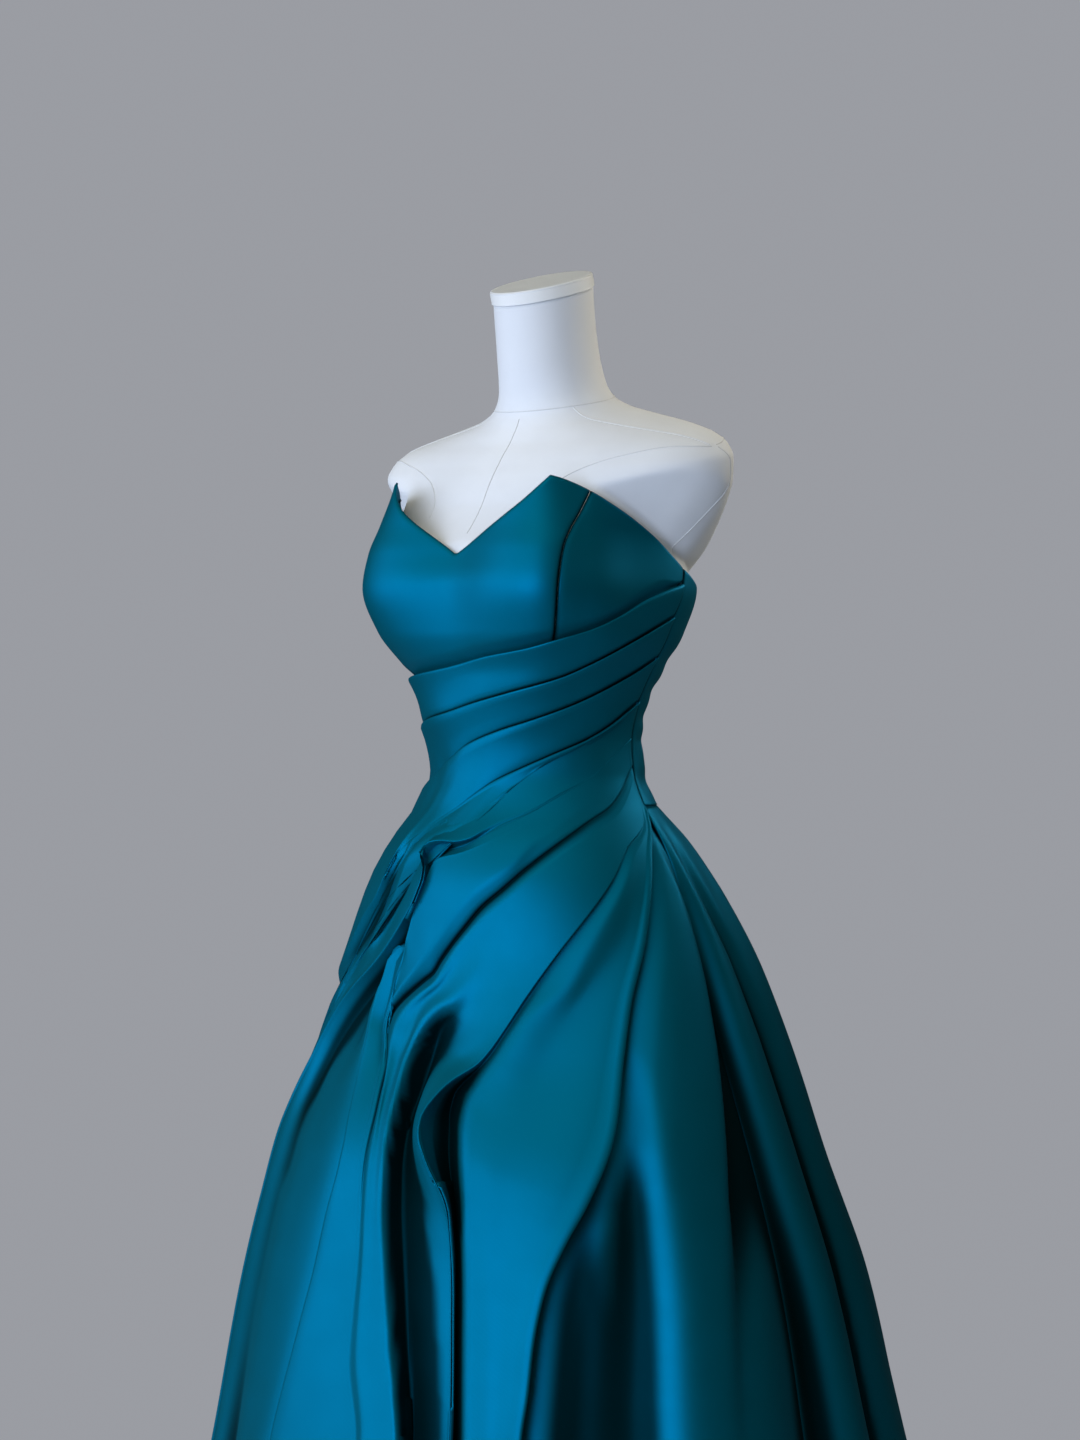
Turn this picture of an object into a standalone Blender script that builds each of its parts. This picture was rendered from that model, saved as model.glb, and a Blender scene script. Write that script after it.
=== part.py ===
"""A-line evening dress in satin, strapless, on a limbless dress form with a round stand.

Metres, +Z up. The wearer's front faces -Y and the wearer's left is +X. The origin is the middle
of the underside of the stand's base. Angles run round the body's upright axis, in degrees, from
0 at the centre front, positive towards the wearer's left, and heights are above the floor.
"""

import math

import bmesh
import bpy
import numpy as np

MM = 0.001

# ---------------------------------------------------------------- driving sizes, in millimetres
HEM_HEIGHT = 12.0
WAIST_SEAM_HEIGHT = 1010.0
BUST_HEIGHT = 1200.0
BLEND_LOW = 1005.0                 # the bodice's sections give way to the skirt's between these
BLEND_HIGH = 1045.0

SEAM_GAP = 0.45                    # between neighbouring pieces
CLOTH = 1.6                        # one layer of lined satin
PLEAT_BED = 2.4                    # inside of the drape, below the dress's outer surface

SEAM_TOP = (1240.0, 100.2)         # height and angle of the left side seam's upper end
RIGHT_SEAM = -97.0                 # angles of the other seams
BACK_SEAM = 180.0

POLE_RADIUS = 16.0
COLLAR_FLANGE = (34.0, 8.0)        # radius and thickness
COLLAR_FOOT = (25.0, 14.0)         # radius and height where the sleeve starts
COLLAR_TOP = (23.0, 42.0)
BASE_RADIUS = 170.0
BASE_HEIGHT = 8.0
BASE_BEVEL = 2.0
CAP_THICKNESS = 12.0
CAP_LIP = 1.5

# ---------------------------------------------------------------- sections of the dress
# Outer surface of the bodice: radius in mm at seven angles, for each height.
BODICE_ANGLES = (0, 36, 55, 75, 105, 140, 180)
BODICE_SECTIONS = (
    # height, (radius at each of BODICE_ANGLES)
    (1012, (110, 110, 112, 116, 117, 100, 89)),
    (1040, (104, 103, 104, 107, 106, 88, 77)),
    (1070, (101, 101, 102, 103, 103, 84, 72)),
    (1100, (103, 108, 108, 109, 107, 91, 80)),
    (1130, (110, 122, 121, 120, 120, 105, 93)),
    (1170, (121, 154, 147, 140, 141, 127, 113)),
    (1212, (125, 169, 160, 149, 153, 140, 128)),
    (1244, (122.5, 163, 155, 146, 152, 139, 129)),
    (1270, (117, 152, 146, 141, 148, 135, 127)),
    (1306, (108, 139, 134, 135, 142, 130, 122)),
    (1330, (100, 133, 131, 133, 138, 125, 118)),
)

# Outer surface of the skirt, on the crests of its folds: half axes of each section.
SKIRT_SECTIONS = (
    # height, side, front, back
    (0, 428, 360, 505),
    (410, 325, 289, 386),
    (570, 293, 262, 338),
    (690, 257, 236, 279),
    (790, 224, 186, 244),
    (870, 195, 160, 205),
    (940, 165, 151, 149),
    (975, 145, 138, 124),
    (1012, 119, 113, 89),
    (1040, 107, 106, 78),
)

# Top edge of the bodice, the same on both sides.
TOP_EDGE = (
    # angle, height
    (0, 1241), (12, 1257.5), (23, 1274), (31, 1288), (37, 1301), (42, 1312),
)
TOP_EDGE_SIDE = (
    # angle, height
    (42, 1312), (49, 1307), (58, 1298), (67, 1286), (76, 1273), (85, 1257),
    (93, 1240), (102, 1226), (117, 1216), (180, 1214),
)

# The princess seam's angle at each height, the same on both sides.
PRINCESS_SEAM = (
    # height, angle
    (1010, 38), (1100, 41), (1160, 43), (1208, 43.5), (1232, 44.5), (1249, 46),
    (1262, 48.5), (1279, 53), (1298, 58),
)

# Cross puckers in the back panels, close under the side seams.
BACK_PUCKERS = (
    # height, depth, half height
    (1145, 2.2, 9), (1118, 2.4, 8), (1092, 2.2, 8), (1070, 1.6, 7), (1031, 2.0, 9),
)

# ---------------------------------------------------------------- lines of the drape's pleats
# Each line runs from the left side seam across the front, as (angle, height). Their first points
# are the left side seam itself.
PLEAT_1 = ((98, 1214), (91, 1209), (80, 1199), (68, 1183), (57, 1171), (45, 1162), (32, 1153),
           (13, 1146), (-9, 1137), (-47, 1127), (-97, 1118))
PLEAT_2 = ((95.5, 1184), (86, 1172), (74, 1157), (59, 1139), (47, 1127), (24, 1113), (-12, 1095),
           (-51, 1081), (-97, 1070))
PLEAT_3 = ((95, 1147), (84, 1132), (72, 1119), (55, 1103), (34, 1088), (17, 1078), (0, 1066),
           (-13, 1053), (-28, 1041), (-60, 1022), (-97, 1008))
PLEAT_4 = ((94, 1106), (85, 1095), (76, 1083), (65, 1072), (45, 1057), (27, 1043), (5, 1021),
           (-5, 1007), (-18, 987), (-28, 965), (-33, 936), (-40, 905), (-52, 872), (-73, 838),
           (-97, 810))
SEAM_CORNER = ((93.7, 1100), (85, 1089), (76, 1077), (64, 1064), (45, 1049), (26, 1033),
               (3, 1010), (-8, 994), (-20, 968), (-28, 940), (-35, 902), (-45, 866), (-62, 822),
               (-80, 768), (-91, 680), (-96, 480), (-97, 12))
SIDE_RIDGE = ((93.4, 1094), (82, 1080), (70, 1065), (55, 1051), (35, 1035), (12, 1011),
              (-6, 985), (-18, 962), (-27, 928), (-34, 885), (-43, 845), (-54, 795), (-66, 710),
              (-72, 580), (-74, 330), (-75, 12))
HIP_RIDGE = ((93, 1087), (78, 1069), (63, 1051), (45, 1036), (21, 1012), (0, 991), (-13, 972),
             (-22, 945), (-28, 905), (-34, 865), (-42, 820), (-49, 760), (-51, 640), (-52, 400),
             (-53, 12))
PLEAT_5 = ((92.5, 1072), (78, 1055), (63, 1036), (47, 1021), (34, 1006), (21, 994), (8, 979),
           (-1, 970), (-7, 948), (-11, 918), (-16, 889), (-24, 850), (-34, 805), (-41, 760),
           (-39, 700), (-36, 640), (-36, 480), (-40, 12))
PLEAT_6 = ((92, 1046), (80, 1022), (70, 1008), (59, 996), (45, 977), (32, 953), (18, 919),
           (6, 882), (-1, 855), (-10, 838), (-14, 814), (-12, 783), (-7, 731), (-4, 675),
           (-3, 603), (-1, 527), (1, 453), (3, 12))
PLEAT_7 = ((91.5, 1026), (87, 999), (80, 983), (71, 968), (63, 944), (51, 904), (43, 877), (34, 838),
           (27, 804), (20, 775), (18, 750), (19, 696), (20, 635), (21, 586), (22, 462), (24, 12))
FREE_EDGE = ((91.5, 1004), (88, 990), (81, 965), (73, 915), (69, 884), (63, 838), (59, 792),
             (54, 722), (47, 662), (43, 632), (39, 591), (37, 547), (36, 502), (35, 468), (31, 12))

# The strips of the drape, from the top down: each runs from its line to the next one.
# lift is how far its own folded top edge stands out of the surface, and tuck how far its lower
# side dips where it goes under the next strip. Both fade from the start to the end of the line.
DRAPE_STRIPS = (
    # line, rows to the next line, lift at start and end, tuck at start and end
    (PLEAT_1, 3, (1.4, 1.6), (0.8, 0.8)),
    (PLEAT_2, 3, (1.4, 1.8), (0.8, 0.8)),
    (PLEAT_3, 3, (1.4, 1.8), (0.8, 0.8)),
    (PLEAT_4, 2, (1.4, 0.6), (0.0, 0.0)),
    (SEAM_CORNER, 4, (0.0, 0.0), (0.0, 0.0)),
    (SIDE_RIDGE, 4, (0.0, 0.0), (0.0, 0.0)),
    (HIP_RIDGE, 4, (0.0, 0.0), (0.8, 0.2)),
    (PLEAT_5, 5, (1.4, 0.0), (0.8, 0.0)),
    (PLEAT_6, 6, (1.4, 0.0), (0.8, 0.0)),
    (PLEAT_7, 4, (1.4, 0.0), (0.4, 0.0)),
)
DRAPE_COLUMNS = (
    # share of the line's length, columns up to it
    (0.24, 8), (0.64, 17), (1.0, 8),
)
STEP_SHARE = 0.04                  # part of a strip's width that its folded edge takes

# ---------------------------------------------------------------- soft folds
# A soft fold is a trough (or a ridge, where its depth is below zero) along a line.
# width is the half width on the side of smaller angles, then on the side of larger angles.
DRAPE_FOLDS = (
    (   # under the fourth pleat, over the right hip
        # angle, height, depth, width, width
        (-20, 985, 0, 12, 9), (-29, 948, 7, 14, 9), (-37, 905, 13, 18, 11),
        (-47, 868, 16, 22, 12), (-70, 826, 14, 26, 16), (-97, 795, 10, 28, 20),
    ),
    (   # from the first curl down the right thigh
        (14, 982, 0, 8, 10), (2, 972, 6, 10, 10), (-6, 952, 11, 12, 10), (-10, 918, 10, 12, 10),
        (-16, 884, 13, 14, 12), (-26, 842, 20, 24, 13), (-37, 796, 24, 30, 16),
        (-42, 755, 22, 34, 24), (-39, 700, 14, 38, 34), (-36, 620, 9, 40, 40),
        (-38, 400, 10, 44, 44), (-42, 12, 18, 56, 56),
    ),
    (   # from the sixth pleat down the front
        (10, 890, 0, 10, 10), (-6, 850, 5, 12, 10), (-14, 815, 10, 11, 10), (-12, 775, 8, 12, 12),
        (-7, 731, 6, 14, 14), (-3, 600, 7, 18, 16), (0, 460, 10, 22, 20), (3, 12, 20, 40, 34),
    ),
    (   # the dark flute left of the second curl
        (12, 840, 0, 14, 14), (9, 812, 12, 16, 14), (6, 775, 20, 20, 16), (5, 720, 22, 24, 17),
        (7, 650, 20, 24, 16), (10, 580, 20, 24, 15), (13, 470, 22, 26, 15), (15, 260, 25, 28, 18),
        (17, 12, 28, 30, 22),
    ),
    (   # the second curl's hollow
        (28, 805, 0, 6, 12), (20, 772, 9, 8, 16), (17.5, 740, 18, 10, 20), (18.5, 690, 20, 9, 22),
        (20, 640, 17, 9, 24), (21, 586, 14, 9, 26), (22, 462, 14, 10, 26), (24, 12, 22, 16, 30),
    ),
    (   # hidden right side, nearer the front
        (-56, 750, 0, 26, 26), (-62, 580, 9, 30, 30), (-63, 300, 16, 36, 36), (-64, 12, 24, 44, 44),
    ),
    (   # hidden right side, nearer the seam
        (-74, 760, 0, 26, 26), (-82, 620, 9, 30, 30), (-85, 300, 17, 36, 36), (-86, 12, 25, 44, 44),
    ),
    (   # first curl, standing out
        (8, 984, 0, 10, 8), (0, 979, -5, 9, 7), (-9, 974, -8, 9, 8), (-13, 958, -6, 10, 8),
        (-14, 936, 0, 10, 8),
    ),
    (   # second curl, standing out
        (19, 782, 0, 10, 6), (14, 762, -8, 11, 7), (9.5, 735, -14, 12, 8), (11, 705, -13, 12, 8),
        (15.5, 670, -9, 12, 8), (18, 630, -5, 12, 8), (19, 560, -3, 12, 8), (20, 12, 0, 12, 8),
    ),
)

SKIRT_FOLDS = (
    (   # faint one beside the free edge
        (43, 760, 0, 22, 22), (42, 614, 5, 24, 24), (41, 465, 7, 26, 26), (39, 12, 12, 34, 34),
    ),
    (   # left of the bright panel
        (62, 800, 0, 16, 12), (54, 720, 9, 22, 13), (51, 640, 14, 26, 14), (50, 460, 17, 30, 16),
        (48, 12, 26, 36, 26),
    ),
    (   # right of the bright panel
        (90, 985, 0, 10, 12), (88, 920, 7, 12, 16), (86, 812, 11, 14, 24), (81, 720, 13, 16, 30),
        (76, 620, 16, 17, 36), (71, 459, 18, 20, 42), (66, 12, 28, 34, 46),
    ),
    (   # along the left side seam
        (93, 1000, 0, 7, 9), (98, 941, 6, 9, 14), (101, 860, 10, 11, 20), (100, 713, 14, 13, 26),
        (100, 600, 18, 15, 30), (105, 434, 22, 18, 34), (109, 12, 30, 30, 46),
    ),
    (   # back, from left to right
        (112, 1004, 0, 8, 8), (120, 930, 9, 12, 12), (127, 800, 14, 20, 18), (131, 560, 20, 32, 26),
        (134, 12, 32, 50, 44),
    ),
    (
        (136, 1004, 0, 8, 8), (143, 920, 8, 12, 12), (150, 780, 15, 20, 20), (155, 500, 22, 32, 34),
        (158, 12, 34, 50, 52),
    ),
    (
        (166, 1004, 0, 9, 9), (172, 930, 9, 14, 14), (176, 760, 17, 24, 22), (179, 460, 24, 36, 34),
        (181, 12, 36, 56, 54),
    ),
    (
        (194, 1004, 0, 8, 8), (196, 900, 9, 14, 14), (200, 740, 16, 24, 22), (203, 430, 24, 36, 36),
        (205, 12, 34, 56, 54),
    ),
    (
        (217, 1004, 0, 8, 8), (219, 910, 8, 12, 12), (224, 760, 14, 20, 20), (228, 460, 21, 30, 32),
        (230, 12, 31, 48, 48),
    ),
    (
        (243, 1004, 0, 8, 8), (245, 920, 7, 12, 12), (248, 790, 12, 18, 18), (250, 520, 18, 28, 28),
        (252, 12, 28, 44, 44),
    ),
)

# How far the bodice and the skirt front lie below the dress's surface where the drape covers them.
COVER_DEPTH = (
    # height, depth
    (12, 44), (400, 40), (700, 38), (800, 37), (870, 34), (940, 29), (975, 21.5), (998, 11),
    (1012, 5.8), (1035, 5.0), (1060, 4.3), (1105, 4.3), (1140, 5.0), (1180, 4.6), (1230, 4.0),
)
EDGE_LAP = 5.0                     # the skirt front's depth right under the drape's free edge

# ---------------------------------------------------------------- dress form
# Rings of the form, from the foot up. front and back are half depths from the ring's middle y,
# and rise says how far the ring's front lies below its sides, and its back above them.
FORM_LOWER_RINGS = (
    # height, half width, front, back, middle y, rise
    (850, 112, 74, 84, 0, 0),
    (852, 134, 88, 100, 0, 0),
    (862, 142, 95, 108, 0, 0),
    (885, 143, 98, 111, 0, 0),
    (915, 137, 99, 107, 0, 0),
    (945, 126, 98, 96, 0, 0),
    (970, 115, 96, 83, 0, 0),
    (990, 107, 94, 74, 0, 0),
    (1008, 101, 93, 68, 0, 0),
)
# Rings between these heights, at this step, follow the inside of the bodice within the limit.
FORM_FITTED = (1022, 1222, 15)
FORM_LIMIT = (165, 190, 140, 0, 0)
FORM_UPPER_RINGS = (
    (1234, 165, 152, 119, 5, 0),
    (1246, 171, 138, 111, 9, 0),
    (1258, 177, 128, 104, 14, 1),
    (1270, 182, 121, 98, 18, 2),
    (1283, 187, 116, 93, 22, 4),
    (1295, 191, 112, 88, 25, 6),
    (1308, 195, 108, 83, 27, 8),
    (1328, 196, 100, 74, 29, 12),
    (1342, 189, 92, 68, 30, 14),
    (1352, 174, 85, 63, 30, 15),
    (1361, 148, 76, 58, 29, 15),
    (1370, 112, 68, 54, 28, 14),
    (1379, 78, 60, 51, 26, 13),
    (1389, 60, 53, 50, 23, 11),
    (1404, 51, 50, 50, 19, 9),
    (1430, 47.5, 49, 49, 13, 10),
    (1462, 46.5, 48, 48, 8, 12),
    (1490, 46.5, 48, 48, 5, 14.5),
)
FORM_SEGMENTS = 32
FORM_TOP_EASE = 12                 # height above the top edge where the form starts to widen
FORM_TOP_SLOPE = 0.95
FORM_SEAM_MARGIN = 11              # degrees past the side seams where it stays as deep as in front
# Between the bodice's inside and the form: close at the waist, looser under the cups.
FORM_EASE = (
    # height, ease
    (1008, 2.6), (1040, 1.8), (1085, 1.3), (1120, 2.4), (1160, 3.8), (1240, 3.8), (1310, 3.6),
)


# ---------------------------------------------------------------- curves and sections
def smooth_curve(x, knots, values):
    """Smooth values between the knots, without overshoot, and level past both ends."""
    x = np.asarray(x, float)
    knots = np.asarray(knots, float)
    values = np.asarray(values, float)
    gap = np.diff(knots)
    slope = np.diff(values) / gap
    tangent = np.zeros(len(knots))
    same = slope[:-1] * slope[1:] > 0
    early = 2 * gap[1:] + gap[:-1]
    late = gap[1:] + 2 * gap[:-1]
    safe_first = np.where(same, slope[:-1], 1)
    safe_second = np.where(same, slope[1:], 1)
    mean = (early + late) / (early / safe_first + late / safe_second)
    tangent[1:-1] = np.where(same, mean, 0)
    tangent[0] = slope[0]
    tangent[-1] = slope[-1]
    x = np.clip(x, knots[0], knots[-1])
    i = np.clip(np.searchsorted(knots, x, side="right") - 1, 0, len(knots) - 2)
    t = (x - knots[i]) / gap[i]
    return ((1 + 2 * t) * (1 - t) ** 2 * values[i]
            + t * (1 - t) ** 2 * gap[i] * tangent[i]
            + t * t * (3 - 2 * t) * values[i + 1]
            + t * t * (t - 1) * gap[i] * tangent[i + 1])


def ease(x, low, high):
    """0 below low, 1 above high, smooth between them."""
    t = np.clip((np.asarray(x, float) - low) / (high - low), 0, 1)
    return t * t * (3 - 2 * t)


def bodice_radius(angle, height):
    """Outer radius of the bodice, the same on both sides of the front."""
    around = np.abs((angle + 180) % 360 - 180)
    heights = [row[0] for row in BODICE_SECTIONS]
    columns = [smooth_curve(height, heights, [row[1][c] for row in BODICE_SECTIONS])
               for c in range(len(BODICE_ANGLES))]
    columns = np.array([columns[1]] + columns + [columns[-2]])
    knots = np.array([-BODICE_ANGLES[1], *BODICE_ANGLES, 360 - BODICE_ANGLES[-2]], float)
    i = np.clip(np.searchsorted(knots, around, side="right") - 1, 1, len(knots) - 3)
    here = np.arange(len(around))
    before, left, right, after = (columns[i + k, here] for k in (-1, 0, 1, 2))
    gap = knots[i + 1] - knots[i]
    t = (around - knots[i]) / gap
    leave = (right - before) / (knots[i + 1] - knots[i - 1]) * gap
    arrive = (after - left) / (knots[i + 2] - knots[i]) * gap
    return ((1 + 2 * t) * (1 - t) ** 2 * left + t * (1 - t) ** 2 * leave
            + t * t * (3 - 2 * t) * right + t * t * (t - 1) * arrive)


def skirt_radius(angle, height):
    """Outer radius of the skirt on the crests of its folds."""
    heights = [row[0] for row in SKIRT_SECTIONS]
    side, front, back = (smooth_curve(height, heights, [row[c] for row in SKIRT_SECTIONS])
                         for c in (1, 2, 3))
    sine = np.sin(np.radians(angle))
    cosine = np.cos(np.radians(angle))
    depth = np.where(cosine > 0, front, back)
    return 1 / np.sqrt((sine / side) ** 2 + (cosine / depth) ** 2)


def dress_radius(angle, height):
    """Outer radius of the whole dress, without its folds."""
    upper = ease(height, BLEND_LOW, BLEND_HIGH)
    return upper * bodice_radius(angle, height) + (1 - upper) * skirt_radius(angle, height)


def polar(angle, height, radius):
    """Points in metres from angles in degrees and heights and radii in mm."""
    turn = np.radians(angle)
    return np.stack((radius * np.sin(turn), -radius * np.cos(turn), height), axis=-1) * MM


def top_edge(angle):
    """Height of the bodice's top edge."""
    around = np.abs((np.asarray(angle, float) + 180) % 360 - 180)
    inner = smooth_curve(around, *zip(*TOP_EDGE))
    outer = smooth_curve(around, *zip(*TOP_EDGE_SIDE))
    return np.where(around < TOP_EDGE[-1][0], inner, outer)


def soft_folds(angle, height, folds):
    """How far the soft folds push the surface in, in mm."""
    depth = np.zeros(len(angle))
    scale = np.radians(1) * dress_radius(angle, height)
    for fold in folds:
        nearest = np.full(len(angle), np.inf)
        push = np.zeros(len(angle))
        for start, end in zip(fold, fold[1:]):
            run = (end[0] - start[0]) * scale
            rise = end[1] - start[1]
            across = (angle - start[0]) * scale
            up = height - start[1]
            length = run * run + rise * rise
            t = np.clip((across * run + up * rise) / length, 0, 1)
            aside = across - t * run
            above = up - t * rise
            distance = np.hypot(aside, above)
            turn = np.sign(run * above - rise * aside)
            low = start[3] + (end[3] - start[3]) * t
            high = start[4] + (end[4] - start[4]) * t
            width = np.where(turn < 0, low, high)
            amount = start[2] + (end[2] - start[2]) * t
            closer = distance < nearest
            nearest = np.where(closer, distance, nearest)
            push = np.where(closer, amount * np.exp(-(distance / width) ** 2), push)
        depth += push
    return depth


class Line:
    """A pleat's line, smooth through its points and measured along its length."""

    def __init__(self, points, samples=400):
        points = np.array(points, float)
        size = np.array((2.6, 1.0))            # a degree is about 2.6 mm of cloth
        steps = np.hypot(*(np.diff(points, axis=0) * size).T)
        knots = np.concatenate(([0], np.cumsum(steps)))
        dense = np.linspace(0, knots[-1], samples)
        angle = smooth_curve(dense, knots, points[:, 0])
        height = smooth_curve(dense, knots, points[:, 1])
        steps = np.hypot(np.diff(angle) * size[0], np.diff(height))
        self.share = np.concatenate(([0], np.cumsum(steps))) / np.sum(steps)
        self.angle = angle
        self.height = height

    def at(self, share):
        return np.interp(share, self.share, self.angle), np.interp(share, self.share, self.height)


# ---------------------------------------------------------------- surfaces of the pieces
DRAPE_LINES = [Line(strip[0]) for strip in DRAPE_STRIPS] + [Line(FREE_EDGE)]
SEAM_POINTS = sorted((line.height[0], line.angle[0]) for line in DRAPE_LINES) + [SEAM_TOP]


def signed(angle):
    """The same angle, from -180 to 180."""
    return (angle + 180) % 360 - 180


def left_seam(height):
    """Angle of the left side seam at a height."""
    return np.interp(height, *zip(*SEAM_POINTS))


def pleat_top(angle):
    """Height of the drape's top edge at an angle."""
    line = DRAPE_LINES[0]
    return np.interp(angle, line.angle[::-1], line.height[::-1])


def edge_angle(height):
    """Angle of the drape's free edge at a height."""
    line = DRAPE_LINES[-1]
    return np.interp(height, line.height[::-1], line.angle[::-1])


def cover_depth(height):
    return smooth_curve(height, *zip(*COVER_DEPTH))


def gap_angle(angle, height):
    """The seam gap as an angle."""
    return np.degrees(SEAM_GAP / dress_radius(angle, height))


def in_front(angle, height, margin=0.01):
    """Whether a place lies between the side seams, or within the margin past them."""
    turn = signed(angle)
    return (turn > RIGHT_SEAM - margin) & (turn < left_seam(height) + margin)


def covered_depth(angle, height):
    """How deep the bodice front lies under the drape, fading out above the drape's top edge."""
    top = pleat_top(signed(angle))
    return cover_depth(height) * (1 - ease(height, top, top + pleat_fade(angle)))


def pucker_strength(angle, height):
    turn = signed(angle)
    beyond = np.where(turn > 0, turn - left_seam(height), RIGHT_SEAM - turn)
    return ease(beyond, 1, 10) * (1 - 0.7 * ease(beyond, 25, 70))


def bodice_surface(angle, height):
    """Outer radius of the bodice's own cloth: it lies deeper under the drape."""
    puckers = np.zeros(len(height))
    for level, depth, reach in BACK_PUCKERS:
        puckers += depth * np.exp(-((height - level) / reach) ** 2)
    puckers *= pucker_strength(angle, height)
    front = in_front(angle, height)
    return dress_radius(angle, height) - np.where(front, covered_depth(angle, height), puckers)


def pleat_fade(angle):
    """How far above the drape's top edge the bodice comes out to its full size."""
    return np.clip(0.7 * (top_edge(angle) - pleat_top(signed(angle))), 5, 14)


def drape_surface(angle, height):
    """Outer radius of the drape without its folded edges."""
    folds = soft_folds(angle, height, DRAPE_FOLDS) * ease(angle, RIGHT_SEAM, RIGHT_SEAM + 9)
    return dress_radius(angle, height) - folds


def skirt_surface(angle, height):
    """Outer radius of the skirt, deeper where the drape covers it."""
    turn = signed(angle)
    edge = edge_angle(height)
    shown = ease(turn, edge - 16, edge + 12)
    seam = 0.55 + 0.45 * ease(turn, RIGHT_SEAM, RIGHT_SEAM + 14)
    lap = EDGE_LAP * (1 - ease(turn, edge, edge + 14))
    front = in_front(angle, height)
    depth = np.where(front, np.maximum(cover_depth(height) * (1 - shown) * seam, lap), 0)
    around = np.where(angle < RIGHT_SEAM + 2, angle + 360, angle)
    folds = soft_folds(around, height, SKIRT_FOLDS)
    return dress_radius(angle, height) - depth - folds * np.where(front, shown, 1)


# ---------------------------------------------------------------- objects
def new_object(name, mesh, material, collection):
    obj = bpy.data.objects.new(name, mesh)
    obj.data.materials.append(material)
    collection.objects.link(obj)
    return obj


def finish(name, bm, material, collection, sharp_angle=40):
    """Face the closed mesh outwards and make it an object."""
    bmesh.ops.recalc_face_normals(bm, faces=bm.faces)
    if bm.calc_volume(signed=True) < 0:
        bmesh.ops.reverse_faces(bm, faces=bm.faces)
    mesh = bpy.data.meshes.new(name)
    bm.to_mesh(mesh)
    bm.free()
    mesh.shade_smooth()
    mesh.set_sharp_from_angle(angle=math.radians(sharp_angle))
    return new_object(name, mesh, material, collection)


def cloth_wall(name, columns, rows, place, inside, raised, material, collection):
    """A closed wall of cloth from a grid.

    columns and rows are the grid's values, place gives a point of the surface for each pair,
    inside how far the inner face lies below it and raised how far the outer face stands above.
    """
    bm = bmesh.new()
    bmesh.ops.create_grid(bm, x_segments=len(columns) - 1, y_segments=len(rows) - 1, size=0.5)
    outer = list(bm.verts)
    grown = bmesh.ops.extrude_face_region(bm, geom=list(bm.faces))
    inner = [item for item in grown["geom"] if isinstance(item, bmesh.types.BMVert)]
    side = {}
    for vert in outer:
        side[vert] = 1
    for vert in inner:
        side[vert] = 0
    verts = outer + inner
    u = np.array([columns[round((vert.co.x + 0.5) * (len(columns) - 1))] for vert in verts])
    v = np.array([rows[round((vert.co.y + 0.5) * (len(rows) - 1))] for vert in verts])
    nudge = 1e-3
    along = place(u + nudge, v) - place(u - nudge, v)
    down = place(u, v + nudge) - place(u, v - nudge)
    normal = np.cross(along, down)
    normal /= np.linalg.norm(normal, axis=1)[:, None]
    middle = place(u, v)
    outward = np.sum(normal * middle * np.array((1, 1, 0)), axis=1)
    normal *= np.where(outward < 0, -1, 1)[:, None]
    is_outer = np.array([side[vert] for vert in verts])
    shift = np.where(is_outer == 1, raised(u, v), -inside(u, v)) * MM
    for vert, point in zip(verts, middle + normal * shift[:, None]):
        vert.co = point
    return finish(name, bm, material, collection)


def constant(value):
    return lambda u, v: np.full(len(u), float(value))


def blend(start, end, share):
    return start + (end - start) * share


def make_form(material, collection):
    """The torso: rings filled at both ends, held inside the bodice where that covers it."""
    fitted = [(height, *FORM_LIMIT) for height in range(*FORM_FITTED)]
    rings = np.array((*FORM_LOWER_RINGS, *fitted, *FORM_UPPER_RINGS), float)
    bm = bmesh.new()
    bmesh.ops.create_grid(bm, x_segments=FORM_SEGMENTS, y_segments=len(rings) - 1, size=0.5)
    verts = list(bm.verts)
    turn = np.array([vert.co.x for vert in verts]) * 2 * math.pi
    row = rings[[round((vert.co.y + 0.5) * (len(rings) - 1)) for vert in verts]]
    height, half_width, front, back, middle, rise = row.T
    depth = np.where(np.cos(turn) > 0, front, back)
    x = half_width * np.sin(turn)
    y = middle - depth * np.cos(turn)
    height = height - rise * np.cos(turn)
    angle = np.degrees(np.arctan2(x, -y))
    radius = np.hypot(x, y)
    clear = height - top_edge(angle)
    front = in_front(angle, height, FORM_SEAM_MARGIN)
    inside = dress_radius(angle, height) - CLOTH - smooth_curve(height, *zip(*FORM_EASE))
    inside -= np.where(front, covered_depth(angle, height), 0)
    inside -= BACK_PUCKERS[0][1] * pucker_strength(angle, height)
    inside += FORM_TOP_SLOPE * np.maximum(clear - FORM_TOP_EASE, 0)
    radius = np.where(height > WAIST_SEAM_HEIGHT, np.minimum(radius, inside), radius)
    for vert, point in zip(verts, polar(angle, height, radius)):
        vert.co = point
    bmesh.ops.remove_doubles(bm, verts=bm.verts, dist=0.01 * MM)
    bmesh.ops.holes_fill(bm, edges=[edge for edge in bm.edges if edge.is_boundary])
    finish("form_torso", bm, material, collection)


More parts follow.
